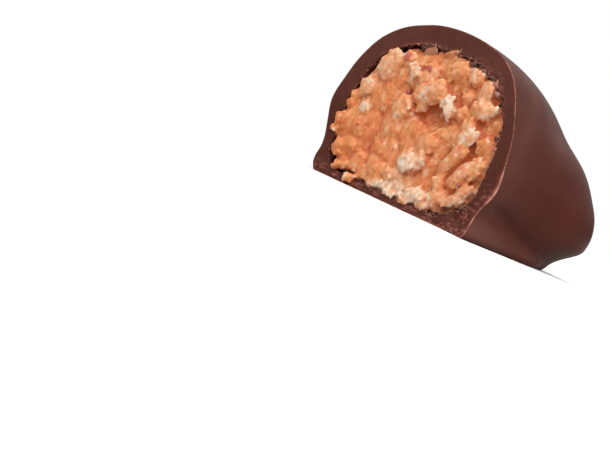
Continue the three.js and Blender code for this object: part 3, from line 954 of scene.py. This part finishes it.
# The grain fans out at the lower right and leans over at the upper left
fanned = 2.4 * np.maximum(x, 0) * (1 - smooth(z, 9, 15))
leant_over = 24 * smooth(z, 12, 17) * smooth(-x, -4, 2)
lean = np.radians(MEAN_LEAN + fanned + leant_over)
way = np.stack([np.sin(lean), np.zeros_like(x), np.cos(lean)], axis=1)
MARKS = {"bare": bare, "roomy": roomy, "tone": tone, "way": way, "grain": spots}
for name, values in MARKS.items():
    give(mass, name, values)
print("share of the mass that is bare:", round(float(bare.mean()), 2))

# %% [markdown]
# ## Shreds and crumbs
# A shred of coconut is a flat splinter of nut, rounded where it was toasted; a crumb is a
# broken bit of one. A few of each are shaped here, and Geometry Nodes lay hundreds of them on
# the mass, because they follow its surface and the same rule each time: half sunk, flat side
# out, with their length along the grain, give or take.

# %% A few shreds and crumbs to lay
small_ball, small_faces = ball(2)


def shapes(name, count, sizes, squared, dented, bend, seed):
    """A collection of shapes, each with its own grain written on its points."""
    random = np.random.default_rng(seed)
    collection = bpy.data.collections.new(name)
    for number in range(count):
        own_bend = random.normal(0, bend)
        points = lump(random, small_ball, np.array(sizes), squared, dented, own_bend)
        shape = mesh_object(name + str(number), points, small_faces, scale=1.0)
        give(shape.data, "grain", points)
        bpy.context.scene.collection.objects.unlink(shape)
        collection.objects.link(shape)
    return collection


shreds = shapes("shred", 6, (0.34, 0.11, 0.95), squared=0.55, dented=0.12, bend=0.03, seed=31)
crumbs = shapes("crumb", 6, (0.3, 0.12, 0.44), squared=0.65, dented=0.2, bend=0.0, seed=32)

# %% Geometry Nodes that lay one collection of shapes
def geometry_tree(name, inputs):
    """A Geometry Nodes tree with named inputs, and those inputs as seen from inside it."""
    tree = bpy.data.node_groups.new(name, "GeometryNodeTree")
    tree.interface.new_socket("Geometry", in_out="OUTPUT", socket_type="NodeSocketGeometry")
    for socket, kind in inputs.items():
        tree.interface.new_socket(socket, in_out="INPUT", socket_type="NodeSocket" + kind)
    return tree, add_node(tree, "NodeGroupInput").outputs


laying, given = geometry_tree("lay coconut", {
    "Geometry": "Geometry", "Shreds": "Collection", "Shred spacing": "Float",
    "Shred tilt": "Float", "Crumbs": "Collection", "Crumb spacing": "Float",
    "Crumb tilt": "Float", "Seed": "Int", "Coconut": "Material"})
# How far a shape's tone strays, how many are much paler and by how much, and how far apart
# their pieces of the grain lie
OWN_TONE, PALE_SHARE, MUCH_PALER, FAR = 0.12, 0.12, 0.3, 90.0


def laid(kind, where, seed_shift, smallest, largest):
    """Nodes that lay one collection of shapes where an attribute of the mass is 1."""
    spacing, tilt = given[kind + " spacing"], given[kind + " tilt"]
    room_here, mass_tone, way_here = (
        add_node(laying, "GeometryNodeInputNamedAttribute", {
            "data_type": sort, "Name": name}).outputs["Attribute"]
        for sort, name in (("FLOAT", where), ("FLOAT", "tone"), ("FLOAT_VECTOR", "way")))
    seed = add_node(laying, "ShaderNodeMath", {
        "operation": "ADD", 0: given["Seed"], 1: seed_shift})
    dots = add_node(laying, "GeometryNodeDistributePointsOnFaces", {
        "distribute_method": "POISSON", "Density Max": 40.0, "Mesh": given["Geometry"],
        "Distance Min": spacing, "Density Factor": room_here, "Seed": seed})
    # The grain, laid flat on the face there, gives the length of a shape its direction
    outward = dots.outputs["Normal"]
    inwards = add_node(laying, "ShaderNodeVectorMath", {
        "operation": "PROJECT", 0: way_here, 1: outward})
    along = add_node(laying, "ShaderNodeVectorMath", {
        "operation": "SUBTRACT", 0: way_here, 1: inwards})
    flat = add_node(laying, "FunctionNodeAxesToRotation", {
        "primary_axis": "Z", "secondary_axis": "Y", "Primary Axis": along,
        "Secondary Axis": outward})
    low_tilt = add_node(laying, "ShaderNodeMath", {"operation": "MULTIPLY", 0: tilt, 1: -1.0})
    wobble = add_node(laying, "FunctionNodeRandomValue", {
        "data_type": "FLOAT_VECTOR", 0: low_tilt, 1: tilt, "Seed": seed})
    wobble = add_node(laying, "FunctionNodeEulerToRotation", {0: wobble})
    turned_out = add_node(laying, "FunctionNodeRotateRotation", {
        "rotation_space": "LOCAL", "Rotation": flat, "Rotate By": wobble})
    # Each shape has its own tone, a few of them much paler, and its own piece of the grain
    lighter = add_node(laying, "FunctionNodeRandomValue", {
        "data_type": "FLOAT", 2: -OWN_TONE, 3: OWN_TONE, "Seed": 6}).outputs[1]
    is_pale = add_node(laying, "FunctionNodeRandomValue", {
        "data_type": "BOOLEAN", "Probability": PALE_SHARE, "Seed": 7}).outputs[3]
    bonus = add_node(laying, "ShaderNodeMath", {
        "operation": "MULTIPLY_ADD", 0: is_pale, 1: MUCH_PALER, 2: lighter})
    toned = add_node(laying, "ShaderNodeMath", {"operation": "ADD", 0: mass_tone, 1: bonus})
    size, shift = (
        add_node(laying, "FunctionNodeRandomValue", {
            "data_type": "FLOAT_VECTOR", 0: low, 1: high, "Seed": own_seed})
        for low, high, own_seed in ((smallest, largest, 5), ([-FAR] * 3, [FAR] * 3, 8)))
    for sort, name, value in (("FLOAT", "tone", toned), ("FLOAT_VECTOR", "own shift", shift)):
        dots = add_node(laying, "GeometryNodeStoreNamedAttribute", {
            "data_type": sort, "domain": "POINT", "Name": name, "Geometry": dots, "Value": value})
    kinds = add_node(laying, "GeometryNodeCollectionInfo", {
        "Separate Children": True, "Collection": given[kind + "s"]})
    placed = add_node(laying, "GeometryNodeInstanceOnPoints", {
        "Pick Instance": True, "Points": dots, "Instance": kinds, "Rotation": turned_out,
        "Scale": size})
    return add_node(laying, "GeometryNodeRealizeInstances", {0: placed})


all_shreds = laid("Shred", "roomy", seed_shift=1,
                  smallest=(0.7, 0.8, 0.5), largest=(1.2, 1.4, 1.25))
all_crumbs = laid("Crumb", "bare", seed_shift=2,
                  smallest=(0.6, 0.8, 0.6), largest=(1.2, 1.6, 1.3))
print("inputs of the coconut's tree:", [socket.name for socket in given if socket.name])

# %% Geometry Nodes that join them with the mass
both = add_node(laying, "GeometryNodeJoinGeometry", {0: all_shreds})
laying.links.new(all_crumbs.outputs[0], both.inputs[0])
laying.links.new(given["Geometry"], both.inputs[0])
own_grain, own_shift = (
    add_node(laying, "GeometryNodeInputNamedAttribute", {
        "data_type": "FLOAT_VECTOR", "Name": name}).outputs["Attribute"]
    for name in ("grain", "own shift"))
grain_place = add_node(laying, "ShaderNodeVectorMath", {
    "operation": "ADD", 0: own_grain, 1: own_shift})
grained = add_node(laying, "GeometryNodeStoreNamedAttribute", {
    "data_type": "FLOAT_VECTOR", "domain": "POINT", "Name": "grain", "Geometry": both,
    "Value": grain_place})
finished = add_node(laying, "GeometryNodeSetMaterial", {
    "Geometry": grained, "Material": given["Coconut"]})
add_node(laying, "NodeGroupOutput", {0: finished})
print("nodes that lay the coconut:", len(laying.nodes))


# %% Lay them and fuse the heap
def made_by(tree, thing, settings):
    """The mesh that a tree makes of an object; its inputs are set by their identifiers."""
    modifier = thing.modifiers.new(tree.name, "NODES")
    modifier.node_group = tree
    for item in tree.interface.items_tree:
        if item.in_out == "INPUT" and item.name in settings:
            modifier[item.identifier] = settings[item.name]
    return evaluated(thing)


coconut, coconut_tree, coconut_shader = principled("toasted coconut")
laid_mesh = made_by(laying, put("bare mass", mass), {
    "Shreds": shreds, "Shred spacing": 0.8, "Shred tilt": 0.15,
    "Crumbs": crumbs, "Crumb spacing": 0.62, "Crumb tilt": 0.2,
    "Seed": 9, "Coconut": coconut})
laid_points, laid_tone, laid_grain = (
    read(laid_mesh, name) for name in ("position", "tone", "grain"))
laid_count = (len(laid_points) - len(mass.vertices)) / len(small_ball)
print("shreds and crumbs laid:", round(laid_count))
fused_mesh = fuse(put("heap", laid_mesh), voxel=0.14, smoothing=2)
print("fused:", len(fused_mesh.vertices), "points,", len(fused_mesh.polygons), "faces")

# %% [markdown]
# The back of the filling lies inside the chocolate and is never seen, so it can be coarser. A
# vertex group tells Decimate to leave the torn front alone: only what lies deeper behind the
# cut than the hidden part begins is thinned, until so many triangles are left.

# %% Thin out what the chocolate hides
HIDDEN_FROM, MOST_TRIANGLES, LOWEST = 2.4, 176000, 0.02
unthinned = put("unthinned", fused_mesh)
behind = np.nonzero(read(fused_mesh, "position")[:, 1] > HIDDEN_FROM)[0]
unthinned.vertex_groups.new(name="hidden").add(behind.tolist(), 1.0, "REPLACE")
thin = unthinned.modifiers.new("thin out", "DECIMATE")
thin.vertex_group = "hidden"
thin.ratio = MOST_TRIANGLES / (2 * len(fused_mesh.polygons))
filling_mesh = evaluated(unthinned)
torn = read(filling_mesh, "position")
torn[:, 2] = np.maximum(torn[:, 2], LOWEST)
filling_mesh.vertices.foreach_set("co", torn.ravel())
filling_mesh.transform(Matrix.Scale(MM, 4) @ Matrix.Translation(Vector(PLACE)))
filling_mesh.name = "torn_coconut"
filling_mesh.shade_smooth()
filling = put("torn_coconut", filling_mesh)
print("filling:", sum(len(f.vertices) - 2 for f in filling_mesh.polygons), "triangles")

# %% [markdown]
# The remesh forgets which shred a point came from, so each point of the front takes its tone
# and its place in the grain from the nearest point of the heap as it was laid, and the tones
# are blurred a little. Fine flakes, too thin for the remesh, then follow that grain.

# %% Tone and grain of the torn face
FRONT_DEPTH, TONE_BEHIND = 4, 0.4
laid_tree = kdtree.KDTree(len(laid_points))
for i, spot in enumerate(laid_points):
    laid_tree.insert(spot, i)
laid_tree.balance()
front = np.nonzero(torn[:, 1] < FRONT_DEPTH)[0]
closest = np.array([laid_tree.find(torn[i])[1] for i in front])
tone, grain_place = np.full(len(torn), TONE_BEHIND), torn.copy()
tone[front], grain_place[front] = laid_tone[closest], laid_grain[closest]
edges = np.zeros(len(filling_mesh.edges) * 2, np.int32)
filling_mesh.edges.foreach_get("vertices", edges)
one_end, other_end = edges.reshape(-1, 2).T
links = np.bincount(edges, minlength=len(torn)) + 1.0
for _ in range(2):
    tone = (tone + np.bincount(one_end, tone[other_end], len(torn))
            + np.bincount(other_end, tone[one_end], len(torn))) / links
print("mean tone of the front:", round(float(tone[front].mean()), 2))

# %% Fine flakes along the grain
SEEN_DEPTH, FLAKE_RELIEF = 3.5, 0.06
gx, gy, gz = grain_place.T
flakes = 0.6 * bumps(gx / 0.25 + gy / 0.35, gz / 1.1)
flakes += 0.4 * bumps(gx / 0.45 + 7, gy / 0.4 + gz / 0.5)
outward = np.array([v.normal for v in filling_mesh.vertices])
torn = torn + (FLAKE_RELIEF * flakes * (torn[:, 1] < SEEN_DEPTH))[:, None] * outward
torn[:, 2] = np.maximum(torn[:, 2], LOWEST)
filling_mesh.vertices.foreach_set("co", ((torn + PLACE) * MM).ravel())
filling_mesh.update()
print("fine flakes stand out by up to", round(float(FLAKE_RELIEF * flakes.max()), 3), "mm")

# %% [markdown]
# Light inside the moist mass turns its hollows a deeper orange, and this is painted here: an
# orange glow in the pits, and painted shade in the cracks with lighter crests. Both are found by
# comparing each point with the face around it, blurred: finely for the cracks between shreds,
# and widely for the pits. A stain follows the edge where the coconut lay against the chocolate.

# %% How far each point lies behind the face around it
CELL, COLUMNS, ROWS, LEFT, BOTTOM, DEEPEST = 0.15, 200, 152, -15, -1, 8
u = np.clip(((torn[:, 0] - LEFT) / CELL).astype(int), 0, COLUMNS - 1)
v = np.clip(((torn[:, 2] - BOTTOM) / CELL).astype(int), 0, ROWS - 1)
nearest_face = np.full((COLUMNS, ROWS), np.inf)
np.minimum.at(nearest_face, (u, v), torn[:, 1])
open_cells = nearest_face < DEEPEST


def behind_blurred(times):
    """How far each point lies behind the face around it, blurred so many times."""
    depth, weight = np.where(open_cells, nearest_face, 0), open_cells.astype(float)
    for _ in range(times):
        for array in (depth, weight):
            padded = np.pad(array, 1, mode="edge")
            array[:] = (padded[:-2, 1:-1] + padded[2:, 1:-1] + padded[1:-1, :-2]
                        + padded[1:-1, 2:] + 2 * padded[1:-1, 1:-1]) / 6
    return torn[:, 1] - (depth / np.maximum(weight, 1e-6))[u, v]


print("cells that the face fills:", int(open_cells.sum()))

# %% Pits, cracks and the stain
PIT_BLUR, PIT_DEPTH, CRACK_BLUR, CRACK_DEPTH = 60, 1.4, 6, 0.5
x, y, z = torn.T
seen = y < SEEN_DEPTH
pit = np.where(seen, np.clip(behind_blurred(PIT_BLUR) / PIT_DEPTH, 0, 1), 0)
crack = np.where(seen, np.clip(0.5 + behind_blurred(CRACK_BLUR) / CRACK_DEPTH, 0, 1), 0.5)
stain_width = 0.8 + 1.0 * bell(z - 5, 3.5) * smooth(x, 4, 8)
stain = bell(distance_to(torn[:, [0, 2]], face_outline), stain_width)
stain *= smooth(x + 0.5 * (z - 12), -6, 3) * smooth(y, -0.7, 0.3)
HOLLOWS = {"tone": tone, "pit": pit, "crack": crack, "stain": stain, "grain": grain_place * MM}
for name, values in HOLLOWS.items():
    give(filling_mesh, name, values)
print("share of the face in pits:", round(float((pit[seen] > 0.5).mean()), 3))

# %% [markdown]
# ## Toasted coconut
# Shredded coconut is oily and lets light in deep, so it glows where it is thin and turns a
# strong orange in its hollows, where light has passed through more of it. The untoasted
# shreds stay cream. The surface is moist: an index of refraction near 1.45, broken by fibres
# a third of a millimetre apart that run along each shred.

# %% Material of the filling: how toasted each place looks, with painted shade on its relief
TOAST = [(0.02, "#b45026"), (0.28, "#cc733f"), (0.52, "#d68753"), (0.78, "#dba076"),
         (1.0, "#dfc7ae")]
FIBRE_WIDTH = 0.35
tree, shader = coconut_tree, coconut_shader
place = add_node(tree, "ShaderNodeTexCoord").outputs["Object"]
tone_here, crack_here, pit_here, stain_here, grain_here = (
    add_node(tree, "ShaderNodeAttribute", {"attribute_name": name}).outputs[output]
    for name, output in (("tone", "Fac"), ("crack", "Fac"), ("pit", "Fac"), ("stain", "Fac"),
                         ("grain", "Vector")))
stretched = add_node(tree, "ShaderNodeMapping", {"Scale": (1.0, 1.0, 0.25), "Vector": grain_here})
fibres = add_node(tree, "ShaderNodeTexNoise", {
    "Scale": per_mm(FIBRE_WIDTH), "Detail": 3, "Roughness": 0.6, "Vector": stretched})
fibrous = add_node(tree, "ShaderNodeMapRange", {
    "From Min": 0.3, "From Max": 0.7, "To Min": -0.2, "To Max": 0.2, "Value": fibres})
blotchy = patches(
    tree, place, size=0.8, low=0.32, high=0.68, bottom=-0.16, top=0.16, detail=4, roughness=0.65)
# Painted shade: the tone is raised on the crests and lowered in the cracks between shreds
painted_relief_shade = add_node(tree, "ShaderNodeMapRange", {
    "To Min": 0.18, "To Max": -0.18, "Value": crack_here})
toned = tone_here
for change in (fibrous, blotchy, painted_relief_shade):
    toned = add_node(tree, "ShaderNodeMath", {"operation": "ADD", 0: toned, 1: change})
toast = add_node(tree, "ShaderNodeValToRGB", {"Fac": toned})
give_stops(toast.color_ramp, TOAST)
print("toasted from", TOAST[0][1], "to", TOAST[-1][1])

# %% Material of the filling: painted glow in pits, painted shade in cracks, a stain and hue
# Toasted flakes turn yellow here and reddish there; the pale ones stay as they are
YELLOW_TINT, RED_TINT = (1.0, 1.08, 0.93, 1.0), (1.0, 0.91, 0.97, 1.0)
pit_glow_mask, crack_shade_mask, toasted_here = (
    add_node(tree, "ShaderNodeMapRange", {
        "From Min": low, "From Max": high, "To Min": bottom, "To Max": top, "Value": value})
    for value, low, high, bottom, top in ((pit_here, 0.2, 1.0, 0.0, 0.35),
                                          (crack_here, 0.58, 0.85, 0.0, 0.8),
                                          (toned, 0.55, 0.8, 1.0, 0.0)))
stained = patches(tree, place, size=0.9, low=0.38, high=0.6, top=0.85, detail=4)
stain_mask = add_node(tree, "ShaderNodeMath", {
    "operation": "MULTIPLY", 0: stain_here, 1: stained})
colour = toast
# Painted light: an orange glow in the pits and a darker orange shade in the cracks, then the
# stain
for mask, over_it in ((pit_glow_mask, "#d27a42"), (crack_shade_mask, "#bb5a31"), (stain_mask, "#7c4430")):
    colour = add_node(tree, "ShaderNodeMix", {
        "data_type": "RGBA", 0: mask, 6: colour, 7: linear(over_it)}).outputs[2]
yellower = patches(tree, place, size=1.6, low=0.38, high=0.62, detail=5, roughness=0.65)
tint = add_node(tree, "ShaderNodeMix", {
    "data_type": "RGBA", 0: yellower, 6: RED_TINT, 7: YELLOW_TINT}).outputs[2]
colour = add_node(tree, "ShaderNodeMix", {
    "data_type": "RGBA", "blend_type": "MULTIPLY",
    0: toasted_here, 6: colour, 7: tint}).outputs[2]
print("laid over the toast: pits, cracks, a stain and patches of hue")

# %% Material of the filling: moist and translucent
COCONUT_IOR = 1.45
moist = patches(tree, place, size=0.8, low=0.35, high=0.65, bottom=0.4, top=0.62)
fibre_bump = add_node(tree, "ShaderNodeBump", {
    "Strength": 0.6, "Distance": 0.08 * MM, "Height": fibres})
set_up(shader, {
    "Base Color": colour, "IOR": COCONUT_IOR, "Roughness": moist, "Normal": fibre_bump,
    "Subsurface Weight": 0.35, "Subsurface Radius": (1.0, 0.42, 0.18),
    "Subsurface Scale": 0.7 * MM})
filling_mesh.materials.clear()
filling_mesh.materials.append(coconut)
print("material:", coconut.name, "with", len(tree.nodes), "nodes")

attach(filling, "root")
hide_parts("coconut_filling")

# %% [markdown]
# ## Brown skin of the nut
# Grated coconut carries scraps of the nut's thin brown skin, pinkish where they are fresh and
# tan where they are toasted. Five lie on the face, the largest in the gap under the chocolate
# at the top. They are flattened lumps, placed one by one where they were found.

# %% Scraps of brown skin
# x, z, half width, half height, lean in degrees, how far each stands out of the face there,
# and how tan it is
SKINS = [
    (-6.2, 17.8, 0.36, 0.5, 20, 0.05, 0.1), (-2.0, 17.3, 0.5, 0.36, 10, 0.07, 0.0),
    (-3.3, 19.4, 0.55, 0.9, 68, 0.4, 1.0), (-4.4, 13.8, 0.4, 0.3, 0, 0.05, 0.3),
    (9.6, 5.6, 0.25, 0.25, 0, 0.08, 0.0),
]
SKIN_THICKNESS, FACE_AROUND = 0.24, 0.35
random = np.random.default_rng(61)
skin_points, skin_faces, skin_tone = [], [], []
for x0, z0, across, up, lean, out, tan in SKINS:
    near_it = np.hypot(torn[:, 0] - x0, torn[:, 2] - z0) < FACE_AROUND
    surface = np.percentile(torn[near_it, 1], 12)
    half_sizes = np.array([across, SKIN_THICKNESS, up])
    shape = lump(random, round_ball, half_sizes, squared=0.7, dented=0.3, bend=0.2)
    skin_faces.append(round_faces + len(skin_points) * len(round_ball))
    skin_points.append(shape @ leaning(lean) + (x0, surface - out + 0.15, z0) + PLACE)
    skin_tone += [tan] * len(shape)
skins = mesh_object("skin_scraps", np.concatenate(skin_points), np.concatenate(skin_faces))
give(skins.data, "tone", skin_tone)
skins.data.shade_smooth()
print("scraps of skin:", len(SKINS))

# %% Material of the skin
nut_skin, tree, shader = principled("coconut skin")
place = add_node(tree, "ShaderNodeTexCoord").outputs["Object"]
tone_here = add_node(tree, "ShaderNodeAttribute", {"attribute_name": "tone"}).outputs["Fac"]
papery = patches(
    tree, place, size=0.4, low=0.3, high=0.7, bottom=-0.35, top=0.35, detail=4, roughness=0.6)
toned = add_node(tree, "ShaderNodeMath", {"operation": "ADD", 0: tone_here, 1: papery})
colour = add_node(tree, "ShaderNodeMix", {
    "data_type": "RGBA", 0: toned, 6: linear("#b2574b"), 7: linear("#9c674b")}).outputs[2]
wrinkles = add_node(tree, "ShaderNodeBump", {
    "Strength": 0.5, "Distance": 0.06 * MM, "Height": papery})
set_up(shader, {
    "Base Color": colour, "IOR": COCONUT_IOR, "Roughness": 0.42, "Normal": wrinkles})
skins.data.materials.append(nut_skin)

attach(skins, "root")

# %% [markdown]
# ## Crumbs of chocolate along the break
# Where the shell snapped, its inner edge crumbled. Shards of chocolate lie in the gap round
# the coconut, most of them at the top, and finer crumbs cling to the edge itself, pink with
# fat and sugar. Both follow one line, the cavity's edge, so Geometry Nodes set them along it.

# %% The line that the crumbs follow
at_top = bell(edge_x - 6.5, 4.5) * bell(edge_z - 19.5, 3)
at_top += 0.8 * bell(edge_x + 3, 3) * bell(edge_z - 20.5, 2)
along_base = 0.95 * bell(edge_z - 1.1, 1.3) * smooth(edge_x, -8, -3)
at_right = 0.15 * smooth(edge_x, 8, 11)
everywhere = 0.03
shard_amount = np.clip(at_top + at_right + everywhere, 0, 1)
crumb_amount = np.clip(at_top + along_base + at_right + everywhere, 0, 1)


def edge_line(amount):
    """The cavity's edge as a closed line of points, in metres, with how much crumbled there."""
    mesh = bpy.data.meshes.new("edge line")
    ring = [(i, (i + 1) % len(edge)) for i in range(len(edge))]
    mesh.from_pydata(((edge + PLACE) * MM).tolist(), ring, [])
    give(mesh, "amount", amount)
    return put("edge line", mesh)


print("edge of the cavity:", len(edge), "points")

# %% Geometry Nodes that set crumbs along a line
strewing, given = geometry_tree("strew along a line", {
    "Geometry": "Geometry", "Shapes": "Collection", "Spacing": "Float",
    "Lowest offset": "Vector", "Highest offset": "Vector", "Smallest": "Float",
    "Largest": "Float", "Seed": "Int", "Material": "Material"})
line = add_node(strewing, "GeometryNodeMeshToCurve", {0: given["Geometry"]})
line = add_node(strewing, "GeometryNodeResampleCurve", {
    "mode": "LENGTH", "Curve": line, "Length": given["Spacing"]})
offset = add_node(strewing, "FunctionNodeRandomValue", {
    "data_type": "FLOAT_VECTOR", 0: given["Lowest offset"], 1: given["Highest offset"],
    "Seed": given["Seed"]})
dots = add_node(strewing, "GeometryNodeCurveToPoints", {"mode": "EVALUATED", 0: line})
dots = add_node(strewing, "GeometryNodeSetPosition", {"Geometry": dots, "Offset": offset})
amount_here = add_node(strewing, "GeometryNodeInputNamedAttribute", {
    "data_type": "FLOAT", "Name": "amount"}).outputs["Attribute"]
chosen = add_node(strewing, "FunctionNodeRandomValue", {
    "data_type": "BOOLEAN", "Probability": amount_here, "Seed": given["Seed"]}).outputs[3]
turn = add_node(strewing, "FunctionNodeRandomValue", {
    "data_type": "FLOAT_VECTOR", 1: (math.tau, math.tau, math.tau), "Seed": 3})
size = add_node(strewing, "FunctionNodeRandomValue", {
    "data_type": "FLOAT", 2: given["Smallest"], 3: given["Largest"],
    "Seed": given["Seed"]}).outputs[1]
lightness = add_node(strewing, "FunctionNodeRandomValue", {"data_type": "FLOAT", "Seed": 9})
dots = add_node(strewing, "GeometryNodeStoreNamedAttribute", {
    "data_type": "FLOAT", "domain": "POINT", "Name": "tone", "Geometry": dots,
    "Value": lightness.outputs[1]})
kinds = add_node(strewing, "GeometryNodeCollectionInfo", {
    "Separate Children": True, "Collection": given["Shapes"]})
strewn = add_node(strewing, "GeometryNodeInstanceOnPoints", {
    "Pick Instance": True, "Points": dots, "Selection": chosen, "Instance": kinds,
    "Rotation": turn, "Scale": size})
strewn = add_node(strewing, "GeometryNodeRealizeInstances", {0: strewn})
strewn = add_node(strewing, "GeometryNodeSetMaterial", {
    "Geometry": strewn, "Material": given["Material"]})
add_node(strewing, "NodeGroupOutput", {0: strewn})
print("nodes that strew the crumbs:", len(strewing.nodes))

# %% Material of crumbled chocolate
CRUMBLED = [(0.0, "#3a1d17"), (0.45, "#502b24"), (0.75, "#7d4d43"), (1.0, "#ae786a")]
crumbled, tree, shader = principled("dark chocolate, crumbled")
place = add_node(tree, "ShaderNodeTexCoord").outputs["Object"]
tone_here = add_node(tree, "ShaderNodeAttribute", {"attribute_name": "tone"}).outputs["Fac"]
crumb_colour = add_node(tree, "ShaderNodeValToRGB", {"Fac": tone_here})
give_stops(crumb_colour.color_ramp, CRUMBLED)
dusted = patches(tree, place, size=0.2, low=0.45, high=0.7, top=0.5)
colour = add_node(tree, "ShaderNodeMix", {
    "data_type": "RGBA", 0: dusted, 6: crumb_colour, 7: linear("#a87466")}).outputs[2]
set_up(shader, {
    "Base Color": colour, "IOR": CHOCOLATE_IOR, "Specular IOR Level": 0.3, "Roughness": 0.5})
print("crumbs from", CRUMBLED[0][1], "to", CRUMBLED[-1][1])

# %% Shards in the gap and crumbs on the edge
chip_ball, chip_faces = ball(1)


def chips(name, sizes, seed):
    """A collection of angular chips, about a millimetre long before they are scaled."""
    random = np.random.default_rng(seed)
    collection = bpy.data.collections.new(name)
    for number in range(5):
        points = lump(random, chip_ball, np.array(sizes), squared=1.3, dented=0.4, bend=0)
        chip = mesh_object(name + str(number), points, chip_faces)
        bpy.context.scene.collection.objects.unlink(chip)
        collection.objects.link(chip)
    return collection


STREWN = {
    "chocolate_shards": (shard_amount, {
        "Shapes": chips("shard", (0.65, 0.2, 0.4), seed=51), "Spacing": 0.25 * MM,
        "Lowest offset": (-0.4 * MM, 0.05 * MM, -0.5 * MM),
        "Highest offset": (0.4 * MM, 0.7 * MM, 0.2 * MM),
        "Smallest": 0.5, "Largest": 1.3, "Seed": 13, "Material": crumbled}),
    "chocolate_crumbs": (crumb_amount, {
        "Shapes": chips("crumb of chocolate", (0.5, 0.25, 0.4), seed=52),
        "Spacing": 0.09 * MM,
        "Lowest offset": (-0.22 * MM, -0.1 * MM, -0.22 * MM),
        "Highest offset": (0.22 * MM, 0.1 * MM, 0.22 * MM),
        "Smallest": 0.15, "Largest": 0.5, "Seed": 14, "Material": crumbled}),
}
for name, (amount, settings) in STREWN.items():
    piece_mesh = made_by(strewing, edge_line(amount), settings)
    piece_mesh.name = name
    piece = put(name, piece_mesh)
    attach(piece, "root")
    print(name + ":", len(piece_mesh.polygons), "triangles")
